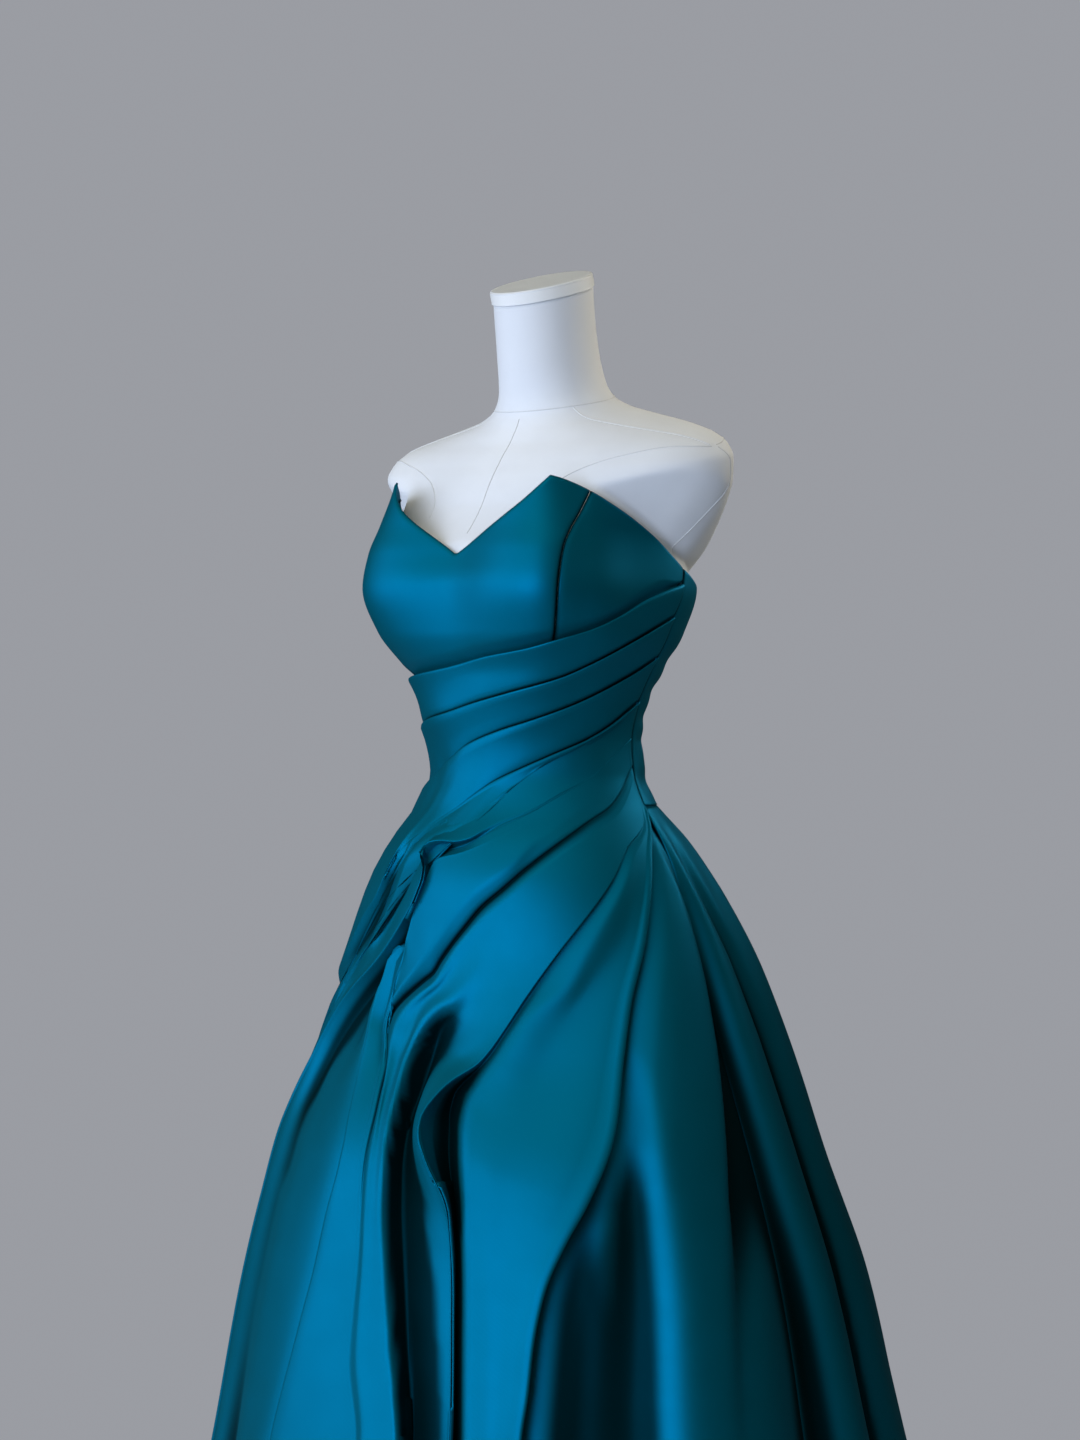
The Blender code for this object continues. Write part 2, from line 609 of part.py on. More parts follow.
def make_cap(material, collection):
    """The slanted cap lies on the neck, parallel to its top, with a small lip."""
    height, half_width, front, back, middle, rise = FORM_UPPER_RINGS[-1]
    slant = math.atan2(rise, front)
    lift = SEAM_GAP / math.cos(slant)
    bm = bmesh.new()
    made = bmesh.ops.create_cone(
        bm, cap_ends=True, segments=FORM_SEGMENTS, radius1=1, radius2=1, depth=1)
    for vert in made["verts"]:
        top = vert.co.z > 0
        x = vert.co.x * (half_width + CAP_LIP)
        y = vert.co.y * (front + CAP_LIP)
        thick = CAP_THICKNESS if top else 0
        vert.co = (x * MM,
                   (y + middle - thick * math.sin(slant)) * MM,
                   (height + lift + y * math.tan(slant) + thick * math.cos(slant)) * MM)
    finish("form_neck_cap", bm, material, collection)


def make_turned(name, profile, material, collection, segments=32):
    """A solid turned round the upright axis from (radius, height) rows, from the bottom up."""
    bm = bmesh.new()
    bmesh.ops.create_grid(bm, x_segments=segments, y_segments=len(profile) - 1, size=0.5)
    for vert in bm.verts:
        turn = (vert.co.x + 0.5) * 2 * math.pi
        radius, height = profile[round((vert.co.y + 0.5) * (len(profile) - 1))]
        vert.co = (radius * math.sin(turn) * MM, -radius * math.cos(turn) * MM, height * MM)
    bmesh.ops.remove_doubles(bm, verts=bm.verts, dist=0.01 * MM)
    bmesh.ops.holes_fill(bm, edges=[edge for edge in bm.edges if edge.is_boundary])
    finish(name, bm, material, collection)


def make_stand(material, collection):
    make_turned("stand_base", (
        (BASE_RADIUS - BASE_BEVEL, 0),
        (BASE_RADIUS, BASE_BEVEL),
        (BASE_RADIUS, BASE_HEIGHT - BASE_BEVEL),
        (BASE_RADIUS - BASE_BEVEL, BASE_HEIGHT),
    ), material, collection, 40)
    foot = BASE_HEIGHT + SEAM_GAP
    make_turned("stand_collar", (
        (COLLAR_FLANGE[0], foot),
        (COLLAR_FLANGE[0], foot + COLLAR_FLANGE[1]),
        (COLLAR_FOOT[0], foot + COLLAR_FOOT[1]),
        (COLLAR_TOP[0], foot + COLLAR_TOP[1]),
    ), material, collection)
    pole_foot = foot + COLLAR_TOP[1] + SEAM_GAP
    make_turned("stand_pole", (
        (POLE_RADIUS, pole_foot),
        (POLE_RADIUS, FORM_LOWER_RINGS[0][0] - SEAM_GAP),
    ), material, collection, 24)


# ---------------------------------------------------------------- bodice
PLEAT_ROW = 0.6                    # the row at the drape's top edge
FADE_ROW = 0.7                     # the row where the bodice is out at its full size
BODICE_ROWS = (*np.linspace(0, PLEAT_ROW, 10), 0.65, *np.linspace(FADE_ROW, 1, 6))
PEAK_SHARE = TOP_EDGE[-1][0] / PRINCESS_SEAM[-1][1]
FRONT_COLUMNS = (0, 0.15, 0.3, 0.44, 0.58, PEAK_SHARE, 0.86, 1)


def bodice_height(angle, v):
    """Height on a front panel: rows at the drape's top edge and where the bodice comes out."""
    top = pleat_top(signed(angle))
    faded = top + pleat_fade(angle)
    low = blend(WAIST_SEAM_HEIGHT, top, v / PLEAT_ROW)
    middle = blend(top, faded, (v - PLEAT_ROW) / (FADE_ROW - PLEAT_ROW))
    high = blend(faded, top_edge(angle), (v - FADE_ROW) / (1 - FADE_ROW))
    return np.where(v < PLEAT_ROW, low, np.where(v < FADE_ROW, middle, high))


def front_place(edges):
    """Points of a front panel between two edges, given as angles at each height."""
    def place(u, v):
        height = np.full(len(u), BUST_HEIGHT)
        for _ in range(24):
            start, end = edges(height)
            angle = blend(start, end, u)
            height = bodice_height(angle, v)
        return polar(angle, height, bodice_surface(angle, height))
    return place


def princess_angle(height):
    return smooth_curve(height, *zip(*PRINCESS_SEAM))


def centre_edges(height):
    seam = princess_angle(height)
    return -seam, seam


def left_edges(height):
    start = princess_angle(height)
    end = left_seam(height)
    return start + gap_angle(start, height), end - gap_angle(end, height) / 2


def right_edges(height):
    start = princess_angle(height)
    end = np.full(len(height), RIGHT_SEAM)
    return end + gap_angle(end, height) / 2, -start - gap_angle(start, height)


def back_place(start_edge, end_edge):
    """Points of a back panel between two edges."""
    def place(u, v):
        height = np.full(len(u), BUST_HEIGHT)
        for _ in range(6):
            start = start_edge(height)
            end = end_edge(height)
            angle = blend(start + gap_angle(start, height) / 2, end - gap_angle(end, height) / 2, u)
            height = blend(WAIST_SEAM_HEIGHT, top_edge(angle), v)
        return polar(angle, height, bodice_surface(angle, height))
    return place


def at_angle(value):
    return lambda height: np.full(len(height), value)


def make_bodice(material, collection):
    inside = constant(CLOTH)
    raised = constant(0)
    centre = [(1 - share) / 2 for share in FRONT_COLUMNS[:0:-1]]
    centre += [(1 + share) / 2 for share in FRONT_COLUMNS]
    cloth_wall("bodice_front", centre, BODICE_ROWS, front_place(centre_edges),
               inside, raised, material, collection)
    sides = np.linspace(0, 1, 7)
    cloth_wall("bodice_side_front_left", sides, BODICE_ROWS, front_place(left_edges),
               inside, raised, material, collection)
    cloth_wall("bodice_side_front_right", sides, BODICE_ROWS, front_place(right_edges),
               inside, raised, material, collection)
    columns = np.linspace(0, 1, 10)
    rows = np.linspace(0, 1, 17)
    cloth_wall("bodice_back_left", columns, rows, back_place(left_seam, at_angle(BACK_SEAM)),
               inside, raised, material, collection)
    cloth_wall("bodice_back_right", columns, rows,
               back_place(at_angle(BACK_SEAM), at_angle(RIGHT_SEAM + 360)),
               inside, raised, material, collection)


# ---------------------------------------------------------------- skirt
SKIRT_TOP = WAIST_SEAM_HEIGHT - 2 * SEAM_GAP
SKIRT_ROWS = (SKIRT_TOP, 992, 968, 935, 890, 830, 750, 650, 530, 390, 210, HEM_HEIGHT)
SKIRT_FRONT_STEP = 12              # degrees between its columns where the drape covers it
SKIRT_FRONT_COVERED = 20           # angles where the covered columns end and the shown ones start
SKIRT_FRONT_SHOWN = 25


def skirt_place(start_edge, end_edge):
    def place(u, v):
        start = start_edge(v)
        end = end_edge(v)
        angle = blend(start + gap_angle(start, v) / 2, end - gap_angle(end, v) / 2, u)
        return polar(angle, v, skirt_surface(angle, v))
    return place


def make_skirt(material, collection):
    inside = constant(CLOTH)
    raised = constant(0)
    right = at_angle(RIGHT_SEAM)
    left = at_angle(SEAM_POINTS[0][1])
    back = at_angle(BACK_SEAM)
    span = SEAM_POINTS[0][1] - RIGHT_SEAM
    covered = np.arange(0, (SKIRT_FRONT_COVERED - RIGHT_SEAM) / span, SKIRT_FRONT_STEP / span)
    shown = np.linspace((SKIRT_FRONT_SHOWN - RIGHT_SEAM) / span, 1, 14)
    cloth_wall("skirt_front", (*covered, *shown), SKIRT_ROWS, skirt_place(right, left),
               inside, raised, material, collection)
    columns = np.linspace(0, 1, 18)
    cloth_wall("skirt_back_left", columns, SKIRT_ROWS, skirt_place(left, back),
               inside, raised, material, collection)
    cloth_wall("skirt_back_right", columns, SKIRT_ROWS,
               skirt_place(back, at_angle(RIGHT_SEAM + 360)),
               inside, raised, material, collection)


# ---------------------------------------------------------------- drape
def drape_position(u, v):
    """Angle and height on the drape: u along its lines, v the strip and the share across it."""
    v = np.clip(v, 0, len(DRAPE_STRIPS))
    strip = np.clip(np.ceil(v).astype(int) - 1, 0, len(DRAPE_STRIPS) - 1)
    share = v - strip
    lines = [line.at(np.clip(u, 0, 1)) for line in DRAPE_LINES]
    angles = np.array([line[0] for line in lines])
    heights = np.array([line[1] for line in lines])
    here = np.arange(len(u))
    angle = blend(angles[strip, here], angles[strip + 1, here], share)
    height = blend(heights[strip, here], heights[strip + 1, here], share)
    gap = gap_angle(angle, height) / 2
    seam = left_seam(height)
    round_front = (angle - RIGHT_SEAM) / (seam - RIGHT_SEAM)
    return blend(RIGHT_SEAM + gap, seam - gap, round_front), height


def drape_place(u, v):
    angle, height = drape_position(u, v)
    return polar(angle, height, drape_surface(angle, height))


def pleat_relief(u, v):
    """How far the pleats' folded edges stand out, and their tucked sides dip."""
    strip = np.clip(np.ceil(v).astype(int) - 1, 0, len(DRAPE_STRIPS) - 1)
    share = v - strip
    lifts = np.array([row[2] for row in DRAPE_STRIPS], float)[strip]
    tucks = np.array([row[3] for row in DRAPE_STRIPS], float)[strip]
    lift = blend(lifts[:, 0], lifts[:, 1], u)
    tuck = blend(tucks[:, 0], tucks[:, 1], u)
    return blend(lift, -tuck, ease(share, STEP_SHARE, 1))


def make_drape(material, collection):
    rows = [0.0]
    for strip, (_, count, lifts, _) in enumerate(DRAPE_STRIPS):
        stepped = strip > 0 and max(lifts) > 0
        start = STEP_SHARE if stepped else 0.0
        shares = start + (1 - start) * np.linspace(0, 1, count + 1)
        rows += [strip + share for share in (shares if stepped else shares[1:])]
    columns = [0.0]
    for share, count in DRAPE_COLUMNS:
        columns += list(np.linspace(columns[-1], share, count + 1)[1:])
    cloth_wall("wrap_drape", columns, rows, drape_place, constant(PLEAT_BED), pleat_relief,
               material, collection)


# ---------------------------------------------------------------- the whole part
def new_material(name, colour, roughness, metallic=0.0):
    material = bpy.data.materials.new(name)
    material.use_nodes = True
    shader = material.node_tree.nodes["Principled BSDF"]
    shader.inputs["Base Color"].default_value = (*colour, 1)
    shader.inputs["Roughness"].default_value = roughness
    shader.inputs["Metallic"].default_value = metallic
    material.diffuse_color = (*colour, 1)
    return material


def main():
    for obj in list(bpy.data.objects):
        bpy.data.objects.remove(obj, do_unlink=True)
    collection = bpy.data.collections.new("evening_dress_on_form")
    bpy.context.scene.collection.children.link(collection)
    satin = new_material("teal_satin", (0.0, 0.16, 0.24), 0.35)
    drape_satin = new_material("teal_satin_drape", (0.0, 0.2, 0.32), 0.32)
    form_cover = new_material("white_form_cover", (0.8, 0.8, 0.78), 0.6)
    cap_paint = new_material("white_cap", (0.82, 0.82, 0.8), 0.45)
    steel = new_material("brushed_steel", (0.55, 0.55, 0.56), 0.35, 1.0)
    make_form(form_cover, collection)
    make_cap(cap_paint, collection)
    make_stand(steel, collection)
    make_bodice(satin, collection)
    make_skirt(satin, collection)
    make_drape(drape_satin, collection)


main()
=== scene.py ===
import math

import bmesh
import bpy
import numpy as np
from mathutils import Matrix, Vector


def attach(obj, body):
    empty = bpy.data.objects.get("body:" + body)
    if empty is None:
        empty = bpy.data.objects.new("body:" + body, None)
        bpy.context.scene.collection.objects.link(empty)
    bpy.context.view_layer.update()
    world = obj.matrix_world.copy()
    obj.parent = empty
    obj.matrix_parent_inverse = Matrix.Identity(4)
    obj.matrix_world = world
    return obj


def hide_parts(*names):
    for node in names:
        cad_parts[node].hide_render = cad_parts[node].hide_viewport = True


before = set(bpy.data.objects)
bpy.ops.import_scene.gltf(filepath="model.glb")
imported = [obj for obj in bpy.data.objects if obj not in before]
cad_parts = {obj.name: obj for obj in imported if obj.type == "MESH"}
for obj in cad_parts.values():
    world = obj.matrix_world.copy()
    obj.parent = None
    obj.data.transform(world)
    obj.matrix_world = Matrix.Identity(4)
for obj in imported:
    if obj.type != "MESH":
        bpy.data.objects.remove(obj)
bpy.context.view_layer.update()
mm = 0.001          # the tables below are in millimetres and degrees, as a dressmaker's notes

# the photo's frame is 1080 x 1440; the camera stands level, 38 degrees to the wearer's left
cameraSetup = {"turn": 38, "distance": 3.6, "height": 1.089, "lens": 95.4}
camera = bpy.data.objects.new("photoCamera", bpy.data.cameras.new("photoCamera"))
bpy.context.scene.collection.objects.link(camera)
turn = math.radians(cameraSetup["turn"])
camera.location = (cameraSetup["distance"] * math.sin(turn),
                   -cameraSetup["distance"] * math.cos(turn), cameraSetup["height"])
camera.rotation_euler = (math.radians(90), 0, turn)
camera.data.lens = cameraSetup["lens"]
bpy.context.scene.camera = camera


# curves
def smoothCurve(x, knots, values):
    x = np.asarray(x, float)
    knots = np.asarray(knots, float)
    values = np.asarray(values, float)
    gap = np.diff(knots)
    slope = np.diff(values) / gap
    tangent = np.zeros(len(knots))
    same = slope[:-1] * slope[1:] > 0
    first = np.where(same, slope[:-1], 1)
    second = np.where(same, slope[1:], 1)
    early = 2 * gap[1:] + gap[:-1]
    late = gap[1:] + 2 * gap[:-1]
    tangent[1:-1] = np.where(same, (early + late) / (early / first + late / second), 0)
    tangent[0] = slope[0]
    tangent[-1] = slope[-1]
    x = np.clip(x, knots[0], knots[-1])
    i = np.clip(np.searchsorted(knots, x, side="right") - 1, 0, len(knots) - 2)
    t = (x - knots[i]) / gap[i]
    return ((1 + 2 * t) * (1 - t) ** 2 * values[i] + t * (1 - t) ** 2 * gap[i] * tangent[i]
            + t * t * (3 - 2 * t) * values[i + 1] + t * t * (t - 1) * gap[i] * tangent[i + 1])


def easeStep(x, low, high):
    t = np.clip((np.asarray(x, float) - low) / (high - low), 0, 1)
    return t * t * (3 - 2 * t)


def blendTo(start, end, share):
    return start + (end - start) * share


# the dress's own form, shared by all its pieces
dress = {
    "hem": 12.0,
    "waistSeam": 1010.0,
    "waistBlend": (1005, 1045),
    "seamGap": 0.45,
    "seamRound": 1.3,                   # how round the cloth turns down at a seam
    "cloth": 1.6,
    "threadRadius": 0.2,
    "rightSeam": -97.0,
    "bodiceAngles": (0, 36, 55, 75, 105, 140, 180),
    "bodiceSections": (
        # height, radius at each angle
        (1012, (110, 110, 112, 116, 117, 100, 89)),
        (1040, (104, 103, 104, 107, 106, 88, 77)),
        (1070, (101, 101, 102, 103, 103, 84, 72)),
        (1100, (103, 108, 108, 109, 107, 91, 80)),
        (1130, (113, 122, 121, 120, 120, 105, 93)),
        (1170, (131, 154, 147, 140, 141, 127, 113)),
        (1212, (136, 169, 160, 149, 153, 140, 128)),
        (1244, (126, 163, 155, 146, 152, 139, 129)),
        (1270, (117, 152, 146, 141, 148, 135, 127)),
        (1306, (108, 139, 134, 135, 142, 130, 122)),
        (1330, (100, 133, 131, 133, 138, 125, 118)),
    ),
    "skirtSections": (
        # height, side, front, back
        (0, 428, 360, 505), (410, 325, 289, 386), (570, 293, 262, 338), (690, 257, 236, 279),
        (790, 224, 186, 244), (870, 195, 160, 205), (940, 165, 151, 149), (975, 145, 138, 124),
        (1012, 119, 113, 89), (1040, 107, 106, 78),
    ),
    "topEdge": ((0, 1241), (12, 1257.5), (23, 1274), (31, 1288), (37, 1301), (42, 1312)),
    "topEdgeSide": ((42, 1312), (49, 1307), (58, 1298), (67, 1286), (76, 1273), (85, 1257),
                    (93, 1240), (102, 1226), (117, 1216), (180, 1214)),
    "princessSeam": ((1010, 38), (1100, 41), (1160, 43), (1208, 43.5), (1232, 44.5), (1249, 46),
                     (1262, 48.5), (1279, 53), (1298, 58)),
    "leftSeam": ((1004, 91.5), (1026, 91.5), (1046, 92), (1072, 92.5), (1106, 94), (1147, 95),
                 (1184, 95.5), (1214, 98), (1240, 100.2)),
    "coverDepth": ((12, 44), (400, 40), (700, 38), (800, 37), (870, 34), (940, 29), (975, 21.5),
                   (998, 11), (1012, 5.8), (1035, 5.0), (1060, 4.3), (1105, 4.3), (1140, 5.0),
                   (1180, 4.6), (1230, 4.0)),
    "backPuckers": ((1145, 2.2, 9), (1118, 2.4, 8), (1092, 2.2, 8), (1070, 1.6, 7), (1031, 2.0, 9)),
}


def bodiceRadius(angle, height):
    around = np.abs((angle + 180) % 360 - 180)
    heights = [row[0] for row in dress["bodiceSections"]]
    marks = dress["bodiceAngles"]
    columns = [smoothCurve(height, heights, [row[1][c] for row in dress["bodiceSections"]])
               for c in range(len(marks))]
    columns = np.array([columns[1]] + columns + [columns[-2]])
    knots = np.array([-marks[1], *marks, 360 - marks[-2]], float)
    i = np.clip(np.searchsorted(knots, around, side="right") - 1, 1, len(knots) - 3)
    here = np.arange(len(around))
    before, left, right, after = (columns[i + k, here] for k in (-1, 0, 1, 2))
    gap = knots[i + 1] - knots[i]
    t = (around - knots[i]) / gap
    leave = (right - before) / (knots[i + 1] - knots[i - 1]) * gap
    arrive = (after - left) / (knots[i + 2] - knots[i]) * gap
    return ((1 + 2 * t) * (1 - t) ** 2 * left + t * (1 - t) ** 2 * leave
            + t * t * (3 - 2 * t) * right + t * t * (t - 1) * arrive)


def skirtRadius(angle, height):
    heights = [row[0] for row in dress["skirtSections"]]
    side, front, back = (smoothCurve(height, heights, [row[c] for row in dress["skirtSections"]])
                         for c in (1, 2, 3))
    sine = np.sin(np.radians(angle))
    cosine = np.cos(np.radians(angle))
    return 1 / np.sqrt((sine / side) ** 2 + (cosine / np.where(cosine > 0, front, back)) ** 2)


def dressRadius(angle, height):
    upper = easeStep(height, *dress["waistBlend"])
    return upper * bodiceRadius(angle, height) + (1 - upper) * skirtRadius(angle, height)


def topEdge(angle):
    around = np.abs((np.asarray(angle, float) + 180) % 360 - 180)
    inner = smoothCurve(around, *zip(*dress["topEdge"]))
    outer = smoothCurve(around, *zip(*dress["topEdgeSide"]))
    return np.where(around < dress["topEdge"][-1][0], inner, outer)


def signed(angle):
    return (angle + 180) % 360 - 180


def leftSeam(height):
    return np.interp(height, *zip(*dress["leftSeam"]))


def gapAngle(angle, height):
    return np.degrees(dress["seamGap"] / dressRadius(angle, height))


def polar(angle, height, radius):
    around = np.radians(angle)
    return np.stack((radius * np.sin(around), -radius * np.cos(around), height), axis=-1) * mm


def softFolds(angle, height, folds):
    # each fold is a trough along its line, deepest on it; below zero it is a ridge
    depth = np.zeros(len(angle))
    scale = np.radians(1) * dressRadius(angle, height)
    for fold in folds:
        nearest = np.full(len(angle), np.inf)
        push = np.zeros(len(angle))
        for start, end in zip(fold, fold[1:]):
            run = (end[0] - start[0]) * scale
            rise = end[1] - start[1]
            across = (angle - start[0]) * scale
            up = height - start[1]
            t = np.clip((across * run + up * rise) / (run * run + rise * rise), 0, 1)
            aside = across - t * run
            above = up - t * rise
            distance = np.hypot(aside, above)
            side = np.sign(run * above - rise * aside)
            low = start[3] + (end[3] - start[3]) * t
            high = start[4] + (end[4] - start[4]) * t
            width = np.where(side < 0, low, high)
            amount = start[2] + (end[2] - start[2]) * t
            closer = distance < nearest
            nearest = np.where(closer, distance, nearest)
            push = np.where(closer, amount * np.exp(-(distance / width) ** 2), push)
        depth += push
    return depth


# cloth pieces start as a grid, which is given a back by extruding it
def clothGrid(name, face, lining, thread, material, shade=None):
    rows, columns = face.shape[:2]
    bm = bmesh.new()
    bmesh.ops.create_grid(bm, x_segments=columns - 1, y_segments=rows - 1, size=0.5)
    bmesh.ops.extrude_face_region(bm, geom=list(bm.faces))
    bm.verts.ensure_lookup_table()
    place = np.array([vert.co[:2] for vert in bm.verts])
    across = np.rint((place[:, 0] + 0.5) * (columns - 1)).astype(int)
    down = np.rint((place[:, 1] + 0.5) * (rows - 1)).astype(int)
    isBack = np.arange(len(bm.verts)) >= rows * columns
    points = np.where(isBack[:, None], lining[down, across], face[down, across])
    for vert, point in zip(bm.verts, points):
        vert.co = point
    bmesh.ops.recalc_face_normals(bm, faces=bm.faces)
    if bm.calc_volume(signed=True) < 0:
        bmesh.ops.reverse_faces(bm, faces=bm.faces)
    mesh = bpy.data.meshes.new(name)
    bm.to_mesh(mesh)
    bm.free()
    corners = np.zeros(len(mesh.loops), np.int32)
    mesh.loops.foreach_get("vertex_index", corners)
    layer = mesh.uv_layers.new(name="clothThread")
    layer.data.foreach_set("uv", thread[down[corners], across[corners]].astype(np.float32).ravel())
    # this attribute holds painted shade: how far the cloth's colour is darkened in folds, creases and
    # seams
    hollow = mesh.attributes.new("hollow", "FLOAT", "POINT")
    amount = np.zeros(len(points)) if shade is None else shade[down, across]
    hollow.data.foreach_set("value", amount.astype(np.float32))
    mesh.shade_smooth()
    piece = bpy.data.objects.new(name, mesh)
    mesh.materials.append(material)
    bpy.context.scene.collection.objects.link(piece)
    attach(piece, "root")
    return piece


def threadMap(angle, height):
    # metres round the figure and down the cloth
    return np.stack((np.radians(angle) * dress["threadRadius"], height * mm), axis=-1)


def insideOf(face, depth, outward):
    # the lining's points lie below the face along its normal
    along = np.gradient(face, axis=1)
    down = np.gradient(face, axis=0)
    normal = np.cross(along, down)
    normal /= np.maximum(np.linalg.norm(normal, axis=2), 1e-12)[..., None]
    facing = np.sum(normal * outward, axis=2)
    normal *= np.where(facing < 0, -1, 1)[..., None]
    return face - normal * depth * mm


def outwardOf(angle):
    around = np.radians(angle)
    return np.stack((np.sin(around), -np.cos(around), np.zeros_like(around)), axis=-1)


def hollowOf(depth, place, setting):
    # painted shade: how far the cloth lies below the crests beside it, as darkening for its colour; both
    # arrays run along the first axis
    # setting: how fast a crest's reach falls off, then the depths where the shade starts and is full
    slope, low, high = setting
    crest = np.full(depth.shape, -999.0)
    for row in range(len(depth)):
        crest = np.maximum(crest, depth[row] - slope * np.abs(place - place[row]))
    return easeStep(crest - depth, low, high)


# finishes
class Number:
    # a socket that adds Math nodes when it is used in a sum
    def __init__(self, finish, socket):
        self.finish = finish
        self.socket = socket

    def combine(self, operation, first, second):
        made = self.finish.add("ShaderNodeMath", {"operation": operation}, {0: first, 1: second})
        return Number(self.finish, made.outputs[0])

    def __add__(self, other):
        return self.combine("ADD", self, other)

    def __radd__(self, other):
        return self.combine("ADD", other, self)

    def __sub__(self, other):
        return self.combine("SUBTRACT", self, other)

    def __rsub__(self, other):
        return self.combine("SUBTRACT", other, self)

    def __mul__(self, other):
        return self.combine("MULTIPLY", self, other)

    def __rmul__(self, other):
        return self.combine("MULTIPLY", other, self)

    def between(self, low, high):
        made = self.finish.add("ShaderNodeMapRange", {"interpolation_type": "SMOOTHSTEP"},
                               {"Value": self, "From Min": low, "From Max": high})
        return Number(self.finish, made.outputs[0])


class Finish:
    # one material and the nodes that make it
    def __init__(self, name, colour, roughness, metallic=0.0):
        self.material = bpy.data.materials.new(name)
        self.material.use_nodes = True
        self.tree = self.material.node_tree
        self.shader = self.tree.nodes["Principled BSDF"]
        self.shader.inputs["Base Color"].default_value = (*colour, 1)
        self.shader.inputs["Roughness"].default_value = roughness
        self.shader.inputs["Metallic"].default_value = metallic
        self.material.diffuse_color = (*colour, 1)

    def add(self, kind, settings=None, values=None):
        node = self.tree.nodes.new(kind)
        for key, value in (settings or {}).items():
            setattr(node, key, value)
        for key, value in (values or {}).items():
            self.feed(node.inputs[key], value)
        return node

    def feed(self, socket, value):
        if isinstance(value, Number):
            value = value.socket
        if isinstance(value, bpy.types.NodeSocket):
            self.tree.links.new(value, socket)
        else:
            socket.default_value = value

    def number(self, kind, settings=None, values=None, output=0):
        return Number(self, self.add(kind, settings, values).outputs[output])

    def mixColour(self, factor, first, second):
        node = self.tree.nodes.new("ShaderNodeMix")
        node.data_type = "RGBA"
        self.feed(node.inputs[0], factor)
        self.feed(node.inputs[6], first if not isinstance(first, tuple) else (*first, 1))
        self.feed(node.inputs[7], second if not isinstance(second, tuple) else (*second, 1))
        return node.outputs[2]

    def bump(self, height, strength, distance):
        made = self.add("ShaderNodeBump", None, {"Height": height, "Strength": strength,
                                                 "Distance": distance})
        self.feed(self.shader.inputs["Normal"], made.outputs[0])

    def set(self, **values):
        for key, value in values.items():
            self.feed(self.shader.inputs[key.replace("_", " ")], value)


satinLook = {
    "thread": (0.0, 0.055, 0.050),      # the dull body of the cloth, green in the shade
    # painted shade: the thread's colour where folds and creases are darkened
    "threadPaintedShade": (0.0, 0.010, 0.011),
    "sheen": (0.0, 0.30, 0.56),         # the floating threads, blue in the light
    # painted shade: the sheen's colour where folds and creases are darkened
    "sheenPaintedShade": (0.0, 0.018, 0.021),
    "sheenShare": 0.36,
    "sheenRoughness": 0.53,
    "threadsPerMetre": 900,
    "threadTurn": 6.283,                # a wave texture's scale counts turns, not threads
    "slubScale": 38,
    "weaveShare": 0.35,
    "slubShare": 0.65,
}


def makeSatin(name):
    look = satinLook
    finish = Finish(name, look["thread"], 0.75)
    finish.shader.inputs["Specular IOR Level"].default_value = 0.0
    thread = finish.add("ShaderNodeUVMap", {"uv_map": "clothThread"})
    hollow = finish.number("ShaderNodeAttribute", {"attribute_name": "hollow"}, output=2)
    point = finish.add("ShaderNodeTexCoord")
    cloud = finish.number("ShaderNodeTexNoise", None,
                          {"Vector": point.outputs["Object"], "Scale": 5.0, "Detail": 2.0})
    slub = finish.number("ShaderNodeTexNoise", None,
                         {"Vector": thread.outputs[0], "Scale": look["slubScale"], "Detail": 6.0})
    # painted shade: the attribute darkens the thread's and the sheen's colours towards near black in
    # folds, creases and seams
    shade = hollow.between(0.0, 1.0)
    finish.set(Base_Color=finish.mixColour(shade, look["thread"], look["threadPaintedShade"]))
    sheen = finish.add("ShaderNodeBsdfPrincipled")
    sheen.inputs["Metallic"].default_value = 1.0
    finish.feed(sheen.inputs["Base Color"],
                finish.mixColour(shade * 0.92 + cloud.between(0.35, 0.75) * 0.06,
                                 look["sheen"], look["sheenPaintedShade"]))
    finish.feed(sheen.inputs["Roughness"], look["sheenRoughness"] + (slub - 0.5) * 0.08)
    weave = finish.number("ShaderNodeTexWave", {"wave_type": "BANDS", "bands_direction": "DIAGONAL"},
                          {"Vector": thread.outputs[0], "Distortion": 0.6,
                           "Scale": look["threadsPerMetre"] / look["threadTurn"]}, output=1)
    finish.bump(weave * look["weaveShare"] + slub * look["slubShare"], 0.08, 0.0006)
    finish.feed(sheen.inputs["Normal"], finish.shader.inputs["Normal"].links[0].from_socket)
    blend = finish.add("ShaderNodeMixShader", None, {0: look["sheenShare"]})
    finish.feed(blend.inputs[1], finish.shader.outputs[0])
    finish.feed(blend.inputs[2], sheen.outputs[0])
    finish.feed(finish.tree.nodes["Material Output"].inputs["Surface"], blend.outputs[0])
    return finish.material


satin = makeSatin("tealSatin")
drapeSatin = makeSatin("tealSatinDrape")
print("camera and finishes ready")

# bodice
bodice = {
    "across": 64, "sideAcross": 44, "backAcross": 56, "down": 96,
    "pleatRow": 0.5, "fadeRow": 0.58,
    "seamDip": 1.0, "seamWidth": 2.0, "seamShade": 2.4, "rollWidth": 3.0, "rollDepth": 1.5,
}

# the drape's top edge is needed by the bodice too
pleatTopLine = ((98, 1214), (91, 1209), (80, 1199), (68, 1183), (57, 1171), (45, 1162), (32, 1153),
                (13, 1146), (-9, 1137), (-47, 1127), (-97, 1118))


def pleatTop(angle):
    line = pleatTopLine[::-1]
    return smoothCurve(angle, [p[0] for p in line], [p[1] for p in line])


def pleatFade(angle):
    fade = np.clip(0.7 * (topEdge(angle) - pleatTop(signed(angle))), 5, 14)
    return fade * (1 - 0.65 * easeStep(signed(angle), 84, 96))


def coverDepth(height):
    return smoothCurve(height, *zip(*dress["coverDepth"]))


